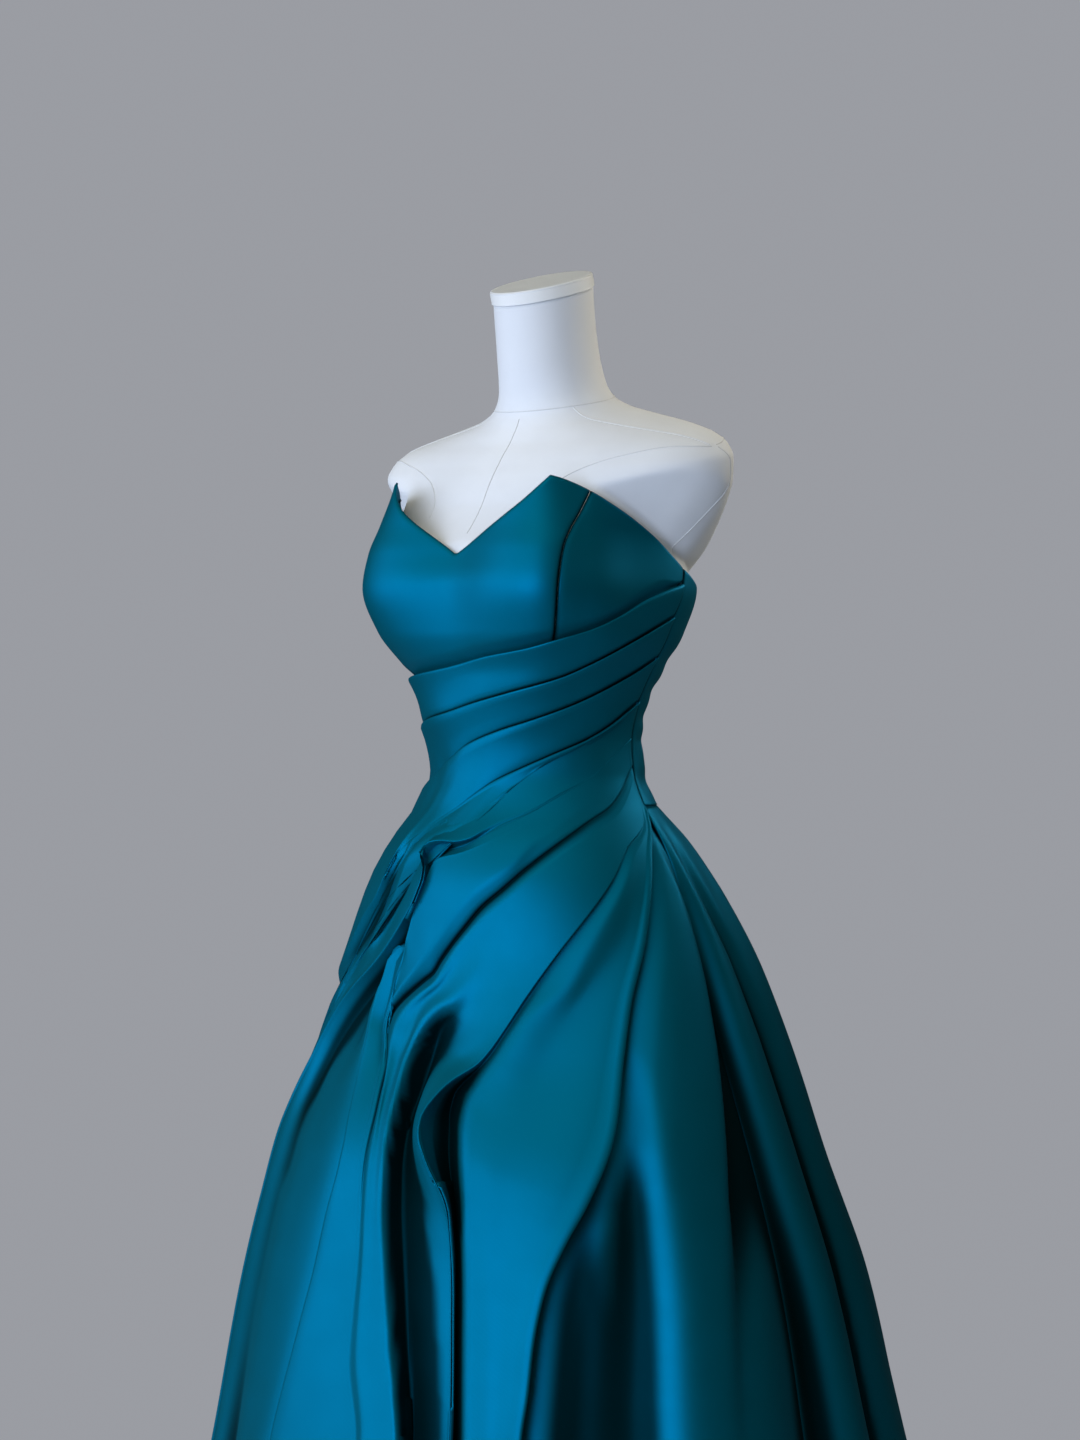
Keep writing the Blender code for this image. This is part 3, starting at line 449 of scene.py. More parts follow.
def coveredDepth(angle, height):
    top = pleatTop(signed(angle))
    return coverDepth(height) * (1 - easeStep(height, top, top + pleatFade(angle)))


def inFront(angle, height, margin=0.01):
    around = signed(angle)
    return (around > dress["rightSeam"] - margin) & (around < leftSeam(height) + margin)


def puckerStrength(angle, height):
    around = signed(angle)
    beyond = np.where(around > 0, around - leftSeam(height), dress["rightSeam"] - around)
    return easeStep(beyond, 1, 10) * (1 - 0.7 * easeStep(beyond, 25, 70))


def bodiceSurface(angle, height):
    puckers = np.zeros(len(height))
    for level, depth, reach in dress["backPuckers"]:
        puckers += depth * np.exp(-((height - level) / reach) ** 2)
    puckers *= puckerStrength(angle, height)
    front = inFront(angle, height)
    return dressRadius(angle, height) - np.where(front, coveredDepth(angle, height), puckers)


def bodiceHeight(angle, v):
    top = pleatTop(signed(angle))
    faded = top + pleatFade(angle)
    pleatRow, fadeRow = bodice["pleatRow"], bodice["fadeRow"]
    low = blendTo(dress["waistSeam"], top, v / pleatRow)
    middle = blendTo(top, faded, (v - pleatRow) / (fadeRow - pleatRow))
    high = blendTo(faded, topEdge(angle), (v - fadeRow) / (1 - fadeRow))
    return np.where(v < pleatRow, low, np.where(v < fadeRow, middle, high))


def princessAngle(height):
    return smoothCurve(height, *zip(*dress["princessSeam"]))


def frontGrid(edges, u, v):
    height = np.full(len(u), 1200.0)
    for _ in range(24):
        start, end = edges(height)
        angle = blendTo(start, end, u)
        height = bodiceHeight(angle, v)
    return angle, height


def backGrid(edges, u, v):
    height = np.full(len(u), 1200.0)
    for _ in range(8):
        start, end = edges(height)
        angle = blendTo(start + gapAngle(start, height) / 2, end - gapAngle(end, height) / 2, u)
        height = blendTo(dress["waistSeam"], topEdge(angle), v)
    return angle, height


def evenEnds(count, crowd=0.35):
    # shares from 0 to 1, closer together at both ends
    t = np.linspace(0, 1, count)
    return (1 - crowd) * t + crowd * (0.5 - 0.5 * np.cos(np.pi * t))


def bodicePanel(name, grid, edges, across):
    u, v = np.meshgrid(evenEnds(across), evenEnds(bodice["down"], 0.25))
    angle, height = grid(edges, u.ravel(), v.ravel())
    radius = bodiceSurface(angle, height)
    # cloth sinks into its seams, and its top edge is turned in softly; along the seams its colour gets
    # painted shade
    start, end = edges(height)
    arc = np.radians(1) * radius
    dip, seamShade = np.zeros(len(angle)), np.zeros(len(angle))
    for edge in (start, end):
        toSeam = np.abs(angle - edge) * arc
        dip += bodice["seamDip"] * np.exp(-(toSeam / bodice["seamWidth"]) ** dress["seamRound"])
        seamShade += np.exp(-(toSeam / bodice["seamShade"]) ** 2)
    toTop = topEdge(angle) - height
    dip += bodice["rollDepth"] * np.clip(1 - toTop / bodice["rollWidth"], 0, 1) ** 2
    radius = radius - dip
    shape = u.shape
    face = polar(angle, height, radius).reshape(*shape, 3)
    around = outwardOf(angle).reshape(*shape, 3)
    lining = insideOf(face, dress["cloth"], around)
    thread = threadMap(angle, height).reshape(*shape, 2)
    piece = clothGrid(name, face, lining, thread, satin, np.clip(seamShade, 0, 1).reshape(shape))
    return piece


def centreEdges(height):
    seam = princessAngle(height)
    return -seam, seam


def leftEdges(height):
    start = princessAngle(height)
    end = leftSeam(height)
    return start + gapAngle(start, height), end - gapAngle(end, height) / 2


def rightEdges(height):
    start = princessAngle(height)
    end = np.full(len(height), dress["rightSeam"])
    return end + gapAngle(end, height) / 2, -start - gapAngle(start, height)


def backLeftEdges(height):
    return leftSeam(height), np.full(len(height), 180.0)


def backRightEdges(height):
    return np.full(len(height), 180.0), np.full(len(height), dress["rightSeam"] + 360)


bodiceFront = bodicePanel("bodiceFront", frontGrid, centreEdges, bodice["across"])
bodiceSideLeft = bodicePanel("bodiceSideLeft", frontGrid, leftEdges, bodice["sideAcross"])
bodiceSideRight = bodicePanel("bodiceSideRight", frontGrid, rightEdges, bodice["sideAcross"])
bodiceBackLeft = bodicePanel("bodiceBackLeft", backGrid, backLeftEdges, bodice["backAcross"])
bodiceBackRight = bodicePanel("bodiceBackRight", backGrid, backRightEdges, bodice["backAcross"])
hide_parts("bodice_front")
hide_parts("bodice_side_front_left")
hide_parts("bodice_side_front_right")
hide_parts("bodice_back_left")
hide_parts("bodice_back_right")
print("bodice made")

# skirt
skirt = {
    "top": 1009.1,
    "frontAcross": 270, "backAcross": 130, "down": 110, "rowCrowd": 1.25,
    "leftSeam": 91.5,
    "edgeLap": 5.0, "lapReach": 14,
    "shown": (16, 12),                  # degrees before and past the drape's edge
    "seamCover": 0.55, "seamReach": 14,
    "seamDip": 0.9, "seamWidth": 2.4, "waistDip": 1.0, "waistWidth": 2.2,
    # painted shade in the fold troughs: how fast a crest's reach falls off, then the depths where it
    # starts and is full
    "hollow": (0.13, 2.5, 12.0),
    "freeEdge": ((91.5, 1004), (88, 990), (81, 965), (73, 915), (69, 884), (63, 838), (59, 792),
                 (54, 722), (47, 662), (43, 632), (39, 591), (37, 547), (36, 502), (35, 468), (31, 12)),
    "folds": (
        (   # left of the bright panel
            (61.5, 792, 0, 14, 10), (60, 750, 9, 20, 13), (58, 707, 16, 26, 18), (57.5, 660, 21, 32, 22),
            (56.5, 577, 24, 36, 26), (55, 490, 27, 38, 29), (52, 12, 32, 50, 42),
        ),
        (   # under the drape's free edge
            (54, 770, 0, 12, 10), (51, 722, 6, 16, 16), (48.5, 680, 11, 22, 22), (46, 640, 15, 28, 26),
            (45, 577, 19, 36, 30), (44, 450, 22, 42, 34), (41, 12, 26, 52, 44),
        ),
        (   # step down at the bright panel's right edge
            (89, 990, 0, 4, 8), (90.5, 905, 5, 4, 14), (89.5, 850, 8, 5, 20), (87.3, 790, 11, 6, 24),
            (84, 730, 12, 7, 28), (80, 660, 11, 8, 32), (77, 585, 8, 10, 34), (75, 500, 4, 12, 34),
            (73, 390, 0, 14, 34),
        ),
        (   # right of the bright panel, steep where it rises again
            (91, 1000, 0, 6, 6), (92, 930, 5, 9, 8), (92.5, 870, 8, 14, 9), (92.5, 800, 13, 22, 12),
            (93, 740, 16, 30, 15), (93.5, 660, 19, 40, 18), (95, 577, 23, 54, 22), (96, 450, 26, 66, 26),
            (97, 12, 34, 80, 36),
        ),
        (   # behind the left side seam
            (97, 1000, 0, 6, 8), (100.5, 941, 7, 8, 9), (107, 874, 11, 13, 11), (111, 800, 15, 20, 14),
            (113, 700, 20, 25, 18), (114, 560, 24, 30, 22), (116, 434, 27, 34, 26), (119, 12, 32, 46, 40),
        ),
        (   # a ridge where the hip stands out furthest
            (117, 990, -2, 12, 14), (119, 930, -6, 16, 18), (122, 860, -6, 22, 24),
            (125, 740, -4, 28, 28), (127, 620, -1, 30, 30), (129, 480, 1, 30, 30),
        ),
        (   # back, from left to right
            (120, 1004, 0, 8, 8), (130, 930, 8, 11, 12), (138, 800, 13, 18, 18), (142, 560, 19, 26, 26),
            (144, 12, 32, 46, 44),
        ),
        (
            (143, 1004, 0, 8, 8), (151, 920, 8, 12, 12), (158, 780, 15, 18, 20), (162, 500, 22, 28, 32),
            (164, 12, 34, 44, 48),
        ),
        (
            (169, 1004, 0, 9, 9), (175, 930, 9, 14, 14), (179, 760, 17, 24, 22), (182, 460, 24, 34, 34),
            (184, 12, 36, 50, 50),
        ),
        (
            (194, 1004, 0, 8, 8), (197, 900, 9, 14, 14), (202, 740, 16, 22, 22), (205, 430, 24, 34, 36),
            (207, 12, 34, 50, 54),
        ),
        (
            (217, 1004, 0, 8, 8), (219, 910, 8, 12, 12), (224, 760, 14, 20, 20), (228, 460, 21, 30, 32),
            (230, 12, 31, 48, 48),
        ),
        (
            (243, 1004, 0, 8, 8), (245, 920, 7, 12, 12), (248, 790, 12, 18, 18), (250, 520, 18, 28, 28),
            (252, 12, 28, 44, 44),
        ),
    ),
}


def edgeAngle(height):
    line = skirt["freeEdge"][::-1]
    return smoothCurve(height, [p[1] for p in line], [p[0] for p in line])


def skirtSurface(angle, height):
    around = signed(angle)
    edge = edgeAngle(height)
    before, past = skirt["shown"]
    shown = easeStep(around, edge - before, edge + past)
    seam = blendTo(skirt["seamCover"], 1,
                   easeStep(around, dress["rightSeam"], dress["rightSeam"] + skirt["seamReach"]))
    lap = skirt["edgeLap"] * (1 - easeStep(around, edge, edge + skirt["lapReach"]))
    front = inFront(angle, height)
    depth = np.where(front, np.maximum(coverDepth(height) * (1 - shown) * seam, lap), 0)
    wrapped = np.where(angle < dress["rightSeam"] + 2, angle + 360, angle)
    folds = softFolds(wrapped, height, skirt["folds"]) * np.where(front, shown, 1)
    return dressRadius(angle, height) - depth - folds, folds


def skirtPanel(name, startEdge, endEdge, across):
    rows = blendTo(skirt["top"], dress["hem"], np.linspace(0, 1, skirt["down"]) ** skirt["rowCrowd"])
    u, height = np.meshgrid(np.linspace(0, 1, across), rows)
    u, height = u.ravel(), height.ravel()
    start = np.full(len(u), float(startEdge))
    end = np.full(len(u), float(endEdge))
    angle = blendTo(start + gapAngle(start, height) / 2, end - gapAngle(end, height) / 2, u)
    radius, folds = skirtSurface(angle, height)
    arc = np.radians(1) * radius
    toWaist = np.abs(height - skirt["top"])
    dip = skirt["waistDip"] * np.exp(-(toWaist / skirt["waistWidth"]) ** dress["seamRound"])
    for edge in (startEdge, endEdge):
        toSeam = np.abs(angle - edge) * arc
        dip += skirt["seamDip"] * np.exp(-(toSeam / skirt["seamWidth"]) ** dress["seamRound"])
    radius = radius - dip
    shape = (skirt["down"], across)
    face = polar(angle, height, radius).reshape(*shape, 3)
    lining = insideOf(face, dress["cloth"], outwardOf(angle).reshape(*shape, 3))
    thread = threadMap(angle, height).reshape(*shape, 2)
    place = np.radians(angle).reshape(shape) * radius.reshape(shape)
    # painted shade, darker where the cloth lies deep in the troughs of its folds
    shade = hollowOf(-folds.reshape(shape).T, place.T, skirt["hollow"]).T
    piece = clothGrid(name, face, lining, thread, satin, shade)
    return piece


skirtFront = skirtPanel("skirtFront", dress["rightSeam"], skirt["leftSeam"], skirt["frontAcross"])
skirtBackLeft = skirtPanel("skirtBackLeft", skirt["leftSeam"], 180, skirt["backAcross"])
skirtBackRight = skirtPanel("skirtBackRight", 180, dress["rightSeam"] + 360, skirt["backAcross"])
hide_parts("skirt_front")
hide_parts("skirt_back_left")
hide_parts("skirt_back_right")
print("skirt made")

# wrap drape: lines run from the left side seam across the front, as (angle, height, stands out)
# sharp: 0 a rounded crest or trough, 1 an edge; amount: how strongly its kind of rows is made, along it
drape = {
    "columns": 200,
    "bed": 2.6,
    "reach": 22,
    "lines": (
        {"name": "topEdge", "kind": "soft", "sharp": 0,
         "points": (
            (98, 1214, 0), (91, 1209, 0), (80, 1199, 0), (68, 1183, 0), (57, 1171, 0), (45, 1162, 0),
            (32, 1153, 0), (13, 1146, 0), (-9, 1137, 1), (-30, 1131, 2.5), (-47, 1127, 3),
            (-70, 1122, 2), (-97, 1118, 0))},
        {"name": "pleatTwo", "kind": "lap", "sharp": 0,
         "amount": ((0, 0.55), (0.1, 1), (1, 1)),
         "points": (
            (95.5, 1184, 0), (86, 1172, 0.5), (74, 1157, 2), (59, 1139, 4), (47, 1127, 6),
            (24, 1113, 9), (4, 1103, 10), (-12, 1095, 10), (-32, 1088, 8.5), (-51, 1081, 6.5),
            (-70, 1077, 4), (-97, 1070, 0))},
        {"name": "pleatThree", "kind": "lap", "sharp": 0,
         "amount": ((0, 0.55), (0.1, 1), (1, 1)),
         "points": (
            (95, 1147, 0), (84, 1132, 0.5), (72, 1119, 1.5), (55, 1103, 3.5), (34, 1088, 6),
            (17, 1078, 7), (0, 1066, 6), (-13, 1053, 3), (-28, 1041, -1.5), (-45, 1031, -2),
            (-60, 1022, -1.5), (-97, 1008, 0))},
        {"name": "hipEdge", "kind": "lap", "sharp": 0.8,
         "amount": ((0, 0.55), (0.1, 1), (0.33, 1), (0.45, 0.35), (0.6, 0), (1, 0)),
         "points": (
            (94, 1106, 0), (85, 1095, 0), (76, 1083, 0), (65, 1072, 0), (45, 1057, 0), (27, 1043, 0),
            (14, 1032, 0), (5, 1021, 0), (-5, 1007, 0), (-13, 996, 0), (-18, 986, 0), (-23, 978, 0),
            (-26.7, 968, 1), (-28.4, 955, 3), (-29.2, 941, 5), (-32, 925, 5), (-40, 905, 5),
            (-52, 872, 4), (-73, 838, 3), (-97, 810, 0))},
        {"name": "darkOne", "kind": "crease", "sharp": 0.2,
         "amount": ((0, 0), (0.4, 0), (0.48, 1), (1, 1)),
         "points": (
            (93.9, 1103, 0), (76.3, 1081, 0), (57.2, 1063, 0), (38, 1048, 0), (18.7, 1032, 0),
            (-0.3, 1010, 0), (-16.5, 986, 0), (-21.3, 975, 0), (-24.6, 963, -3), (-26.4, 951, -4),
            (-28, 938, -6), (-30.4, 921, -7), (-35, 902, -7), (-44, 876, -7), (-57, 846, -7),
            (-77, 812, -6), (-97, 792, -4))},
        {"name": "ridgeOneLeft", "kind": "soft", "sharp": 0.5,
         "points": (
            (93.7, 1100, 0), (80.3, 1083, 0), (65.1, 1066, 0), (49.2, 1053, 0), (33.6, 1040, 0),
            (18, 1027, 0), (1.8, 1009, 0), (-3.8, 1002, 0), (-10.3, 990, 0), (-14.2, 980, 1),
            (-17.2, 971, 2), (-19.9, 962, 2), (-22.2, 952, 1), (-24, 941, 0), (-25.2, 930, 0),
            (-27.1, 917, 0), (-30.4, 902, 0), (-35, 884, 0), (-39.1, 867, 0), (-43, 857, 0),
            (-54, 828, 0), (-70, 788, 0), (-84, 720, 0), (-93, 600, 0), (-96.5, 400, 0), (-97, 12, 0))},
        {"name": "sideDip", "kind": "soft", "sharp": 0,
         "points": (
            (93.6, 1097, 0), (78.7, 1078, 0), (61.2, 1059, 0), (42.8, 1044, 0), (24.9, 1029, 0),
            (8.1, 1011, 0), (-9.4, 993, 0), (-14, 985, 0), (-19.3, 970, 0), (-22.4, 953, -1),
            (-24.2, 936, -1), (-26, 920, -1), (-29, 903, -1), (-35, 880, -2), (-44, 848, -3),
            (-56, 815, -4), (-70, 765, -6), (-79, 690, -9), (-84, 520, -13), (-85, 300, -18),
            (-86, 12, -26))},
        {"name": "sideRidge", "kind": "soft", "sharp": 0,
         "points": (
            (93.5, 1093, 0), (78.9, 1074, 0), (61.5, 1055, 0), (42.3, 1039, 0), (23.9, 1023, 0),
            (7.6, 1005, 0), (-14.2, 981, -1), (-19.8, 966, -2), (-22.8, 950, -2), (-24.2, 933, -2),
            (-26, 917, -2), (-29.5, 899, -1), (-35.5, 876, 0), (-44, 842, 0), (-55, 795, 0),
            (-66, 710, 0), (-72, 580, 0), (-74, 330, 0), (-75, 12, 0))},
        {"name": "ridgeOneDip", "kind": "soft", "sharp": 0,
         "points": (
            (93.2, 1087, 0), (82.9, 1074, 0), (68.3, 1057, 0), (51.8, 1041, 0), (37.3, 1028, 0),
            (21.3, 1014, 0), (8.7, 999, 0), (-2.7, 994, -3), (-9.4, 986, -6), (-15.9, 975, -8),
            (-20.8, 966, -8), (-22.4, 954, -7), (-22.8, 941, -6.5), (-24.1, 928, -6), (-26.6, 913, -6),
            (-29.8, 896, -5), (-34.1, 878, -4), (-39.5, 857, -3), (-44.2, 834, -2), (-50, 795, -3),
            (-58, 720, -5), (-62, 580, -8), (-63, 300, -14), (-64, 12, -24))},
        {"name": "rimOne", "kind": "rim", "sharp": 0.7,
         "amount": ((0, 0), (0.3, 0), (0.4, 1), (0.7, 1), (1, 0.5)),
         "points": (
            (92.7, 1075, 0), (78.5, 1057, 0), (63.6, 1037, 0), (47.6, 1023, 0), (33.5, 1008, 0),
            (20.7, 997, 0), (14.9, 989, 1), (8.6, 980, 2), (3.2, 978, 4), (-2.1, 979, 6),
            (-6.3, 978, 8), (-8.3, 974, 10), (-8.6, 969, 11), (-7.4, 962, 10), (-5.9, 955, 8),
            (-5.8, 945, 7), (-7.2, 934, 6), (-9.7, 920, 5), (-14.3, 903, 4), (-19.7, 886, 3),
            (-24.5, 871, 3), (-29.4, 858, 3), (-35.6, 843, 3), (-41.6, 824, 3), (-47.6, 793, 3),
            (-51, 765, 3), (-53, 742, 3), (-53.5, 715, 3), (-53, 690, 2.5), (-52, 640, 1),
            (-52, 400, 0), (-53, 12, 0))},
        {"name": "creaseOne", "kind": "lap", "sharp": 0,
         "amount": ((0, 0.6), (0.08, 1), (0.2, 1), (0.29, 0), (1, 0)),
         "points": (
            (92.5, 1072, 0), (78, 1055, 0), (63, 1035.5, 0), (47.3, 1020.5, 0), (33.6, 1005, 0),
            (21, 993, -1), (13.1, 982, -4), (6, 975, -6), (0.5, 972, -8), (-3, 970, -9),
            (-5.8, 966, -10), (-7.8, 961, -10), (-8.6, 956, -9), (-8.6, 949, -8), (-9, 940, -8),
            (-10.2, 929, -8), (-12.4, 915, -9), (-15, 900, -11), (-17.8, 886, -14), (-21.4, 871, -17),
            (-25.5, 858, -18), (-30, 845, -17), (-36, 824, -16), (-41, 802, -15), (-45, 774, -14),
            (-46, 745, -14), (-46, 727, -13), (-43.5, 704, -12), (-42, 678, -12), (-42.5, 645, -10),
            (-42, 560, -10), (-42, 400, -14), (-44, 12, -24))},
        {"name": "flatLeft", "kind": "soft", "sharp": 0,
         "points": (
            (92.5, 1071, 0), (80.6, 1057, 0), (68.5, 1041, 0), (56.2, 1028, 0), (43.8, 1015, 0),
            (31.6, 1001, 0), (19.3, 988, 0), (6.2, 973.2, -5.2), (1.3, 970.5, -7), (-1.9, 968.8, -7.9),
            (-4.5, 965.5, -8.8), (-6.5, 961.4, -8.8), (-7.4, 956.9, -7.9), (-7.7, 950, -7),
            (-8.3, 940.8, -7), (-9.5, 930, -7), (-11.7, 916, -7.9), (-14.1, 900.8, -9.6),
            (-16.6, 886.8, -12.2), (-20, 872, -16), (-24.2, 858, -15), (-29.3, 820, -12),
            (-29.5, 796, -11), (-34.4, 776, -10), (-36, 759, -9), (-34.5, 739, -9), (-32.5, 716, -9),
            (-30.3, 693, -8), (-30.5, 664, -7), (-31.5, 640, -6), (-32, 560, -5), (-34, 400, -6),
            (-37, 12, -12))},
        {"name": "ridgeTwo", "kind": "lap", "sharp": 0,
         "amount": ((0, 0), (0.33, 0), (0.38, 0.8), (0.5, 1.2), (0.75, 0.8), (1, 0.3)),
         "points": (
            (92.5, 1070, 0), (80.8, 1056, 0), (68.8, 1040, 0), (56.4, 1026, 0), (44.1, 1014, 0),
            (32, 1000, 0), (19.8, 987, 0), (6.5, 971.9, -4.2), (1.9, 969.3, -5.6), (-1, 967.8, -6.3),
            (-3.4, 965.1, -7), (-5.4, 961.7, -7), (-6.5, 957.6, -6.3), (-6.9, 950.8, -5.6),
            (-7.7, 941.4, -5.6), (-9, 930.8, -5.6), (-11.1, 916.8, -6.3), (-13.4, 901.4, -7.7),
            (-15.6, 887.4, -9.8), (-20.1, 877, -5), (-22.8, 867, -3), (-23, 848, -2), (-23.4, 837, -1),
            (-23.1, 821, -1), (-21.3, 803, -1), (-19.4, 778, -1), (-17.1, 757, -1), (-13.9, 726, -1),
            (-12.2, 706, -1), (-11.7, 683, -1), (-12.3, 651, -1), (-13.3, 602, -1), (-15.4, 539, 0),
            (-19.3, 439, 0), (-24, 12, 0))},
        {"name": "lineTwo", "kind": "crease", "sharp": 0.4,
         "amount": ((0, 0), (0.29, 0), (0.32, 1), (0.37, 1), (0.42, 0.3), (0.47, 0), (1, 0)),
         "points": (
            (92.4, 1069, 0), (81.1, 1055, 0), (69, 1039, 0), (56.6, 1025, 0), (44.4, 1012, 0),
            (32.4, 999, 0), (20.3, 985, 0), (6.7, 970.1, -2.5), (2.7, 967.8, -3.3), (0.1, 966.5, -3.7),
            (-2.1, 964.6, -4.1), (-4.1, 962, -4.1), (-5.4, 958.5, -3.7), (-6, 951.8, -3.3),
            (-7, 942.1, -3.3), (-8.4, 931.8, -3.3), (-10.4, 917.8, -3.7), (-12.5, 902.1, -4.6),
            (-14.3, 888.1, -5.8), (-17.4, 877, -8), (-19.4, 865, -6), (-19.4, 854, -6),
            (-19.5, 844, -7), (-19.6, 829, -8), (-19.5, 815, -9), (-16.8, 796, -9), (-14.3, 781, -8),
            (-11.3, 756, -5), (-8.7, 731, -3.5), (-7.6, 710, -3), (-6.6, 684, -2.5), (-4.2, 602, -3),
            (-3.8, 525, -4), (-0.2, 450, -5), (0.6, 12, -10))},
        {"name": "panelEdge", "kind": "rim", "sharp": 1,
         "amount": ((0, 0), (0.12, 0.3), (0.2, 1), (0.36, 1), (0.42, 0.3), (0.47, 0), (1, 0)),
         "points": (
            (92.4, 1067, 0), (81.6, 1053, 0), (69.5, 1037, 0), (57, 1023, 0), (45, 1010, 0),
            (33.2, 996, 0), (20.3, 981, 0), (7, 968, 0), (3.6, 966, 0), (1.5, 965, 0), (-0.5, 964, 0),
            (-2.5, 962.5, 0), (-4, 959.5, 0), (-4.9, 953, 0), (-6.1, 943, 0), (-7.6, 933, 0),
            (-9.6, 919, 0), (-11.4, 903, 0), (-12.8, 889, 0), (-14, 877, -2), (-15.2, 865, -3),
            (-16.2, 853, -3), (-16.6, 843, -4), (-17.9, 829, -7), (-18.5, 815, -9), (-16.1, 796, -9.5),
            (-13.6, 781, -9), (-10.6, 756, -5), (-8.1, 732, -3.5), (-6.9, 710, -3), (-5.9, 684, -2.5),
            (-3.5, 603, -3), (-3.1, 526, -4), (0.5, 450, -5), (1.2, 12, -10))},
        {"name": "panelTwo", "kind": "soft", "sharp": 0,
         "points": (
            (92.2, 1058, 0), (85.7, 1048, 0), (76.2, 1033, 0), (65.2, 1018, 0), (56, 1009, 0),
            (45.9, 996, 0), (37.6, 985, 0), (28.1, 960, 1), (19.3, 944, 1.5), (12.4, 928, 1.5),
            (7.4, 912, 1.5), (3.2, 896, 1), (-0.6, 883, 1), (-5.5, 868, 0), (-10, 854, -2),
            (-14.3, 842, -4), (-17.3, 830, -7), (-17.4, 810, -10), (-15.4, 796, -9.5),
            (-12.9, 781, -9), (-9.9, 756, -5), (-7.4, 732, -3.5), (-6.2, 710, -3), (-5.2, 684, -2.5),
            (-2.8, 603, -3), (-2.4, 526, -4), (1.2, 450, -5), (1.8, 12, -10))},
        {"name": "pleatSix", "kind": "vee", "sharp": 0.3,
         "amount": ((0, 0.3), (0.1, 0.7), (0.2, 1), (0.36, 1), (0.42, 0.4), (0.47, 0), (1, 0)),
         "points": (
            (92, 1046, 0), (86, 1034, 0), (79.6, 1022, 0), (70.6, 1008, -1), (59.3, 996, -2),
            (45.6, 977, -3), (32.3, 953, -4), (24.8, 936, -4), (17, 919, -4), (10.4, 899, -4),
            (4.5, 881, -5), (1, 869, -6), (-1.4, 859, -7), (-5.1, 852, -8), (-10, 842, -9),
            (-14.8, 831, -10), (-17.6, 821, -11), (-17.5, 810, -11), (-14.7, 796, -11.5),
            (-12.2, 781, -11), (-9.2, 756, -6), (-6.7, 732, -3.5), (-5.5, 710, -3), (-4.5, 684, -2.5),
            (-2.1, 603, -3), (-1.7, 526, -4), (1.9, 450, -5), (2.4, 12, -10))},
        {"name": "ridgeThree", "kind": "soft", "sharp": 0.5,
         "points": (
            (91.9, 1044, 0), (82, 1024, 0), (70, 1003, 0), (57.3, 988, 0), (45.8, 969, 0),
            (35, 949, 0), (24.1, 923, 0), (14.5, 898, 1), (9.4, 881, 2), (7, 869, 3), (5.4, 859, 4),
            (2.7, 848, 4), (-1.4, 840, 4), (-4.9, 831, 4), (-7.8, 819, 4), (-8.4, 809, 4),
            (-8.6, 798, 3), (-7.7, 785, 3), (-5.9, 759, 2), (-4.2, 733, 1), (-3.1, 707, 0),
            (-2.2, 681, 0), (-0.1, 605, 0), (1, 528, 0), (4.2, 454, 0), (5, 12, 0))},
        {"name": "valleyThree", "kind": "soft", "sharp": 0,
         "points": (
            (91.9, 1041, 0), (83.1, 1022, 0), (69.8, 999, 0), (58, 983, 0), (47.1, 963, 0),
            (36, 939, 0), (25.5, 913, 0), (16.8, 886, 0), (12, 870, 0), (8.1, 855, 0),
            (4.1, 844, -0.5), (-0.3, 834, -1), (-2.9, 819, -1.5), (-3.4, 802, -1.5), (-5.3, 782, -1.5),
            (-4.9, 767, -1.5), (-4.4, 748, -1.5), (-3.3, 727, -1), (-1.4, 703, -1), (-0.5, 678, -1),
            (1.8, 605, -1), (3.7, 530, -1), (6.7, 455, -1), (7.5, 12, -1))},
        {"name": "crestThree", "kind": "soft", "sharp": 0.2,
         "points": (
            (91.8, 1039, 0), (84.4, 1021, 0), (70.8, 995, 0), (60, 979, 0), (49.7, 958, 0),
            (39.1, 933, 0), (29.1, 906, 0), (20.4, 881, 0), (16.4, 863, 1), (13.3, 849, 2),
            (9.9, 836, 3), (5.9, 829, 3.5), (2.9, 820, 3.5), (0.9, 809, 3), (-0.6, 795, 3),
            (-1.3, 778, 3), (-1, 758, 2.5), (-0.3, 738, 2), (0.7, 713, 1), (1.8, 687, 1),
            (2.8, 653, 0), (4.9, 610, 0), (7, 567, 0), (9.8, 508, 0), (11.6, 458, 0), (11, 12, 0))},
        {"name": "flute", "kind": "soft", "sharp": 0,
         "points": (
            (91.7, 1035, 0), (86.1, 1019, 0), (72.1, 989, 0), (62.6, 973, 0), (52.4, 949, 0),
            (42.5, 923, 0), (33.6, 897, 0), (25.4, 871, 0), (21.8, 850, -1), (17.4, 835, -3),
            (12.8, 824, -7), (7.5, 815, -14), (3.9, 805, -20), (2, 791, -25), (0.9, 773, -28),
            (0.4, 753, -29), (0, 733, -29), (0.7, 715, -28), (1.7, 693, -27), (2.9, 672, -26),
            (4.5, 642, -25), (6.2, 607, -25), (8.6, 547, -26), (11.5, 453, -28), (15.5, 12, -30))},
        {"name": "lipBack", "kind": "soft", "sharp": 0.5,
         "points": (
            (91.6, 1031, 0), (88, 1017, 0), (73.5, 983, 0), (65.5, 967, 0), (56.2, 941, 0),
            (47.1, 913, 0), (39, 887, 0), (31.9, 860, 0), (28.6, 838, 0), (25, 818, -1),
            (21.2, 802, -2), (16.8, 792, -4), (13.3, 786, -6), (11.4, 780, -5), (10.1, 772, -1),
            (9.2, 763, 3), (8.7, 752, 6), (8.8, 742, 8), (9, 732, 9), (9.4, 723, 9), (10.1, 714, 8),
            (11.5, 702, 7), (13.4, 690, 6), (15.4, 676, 4), (17.1, 664, 2), (18.2, 653, 0),
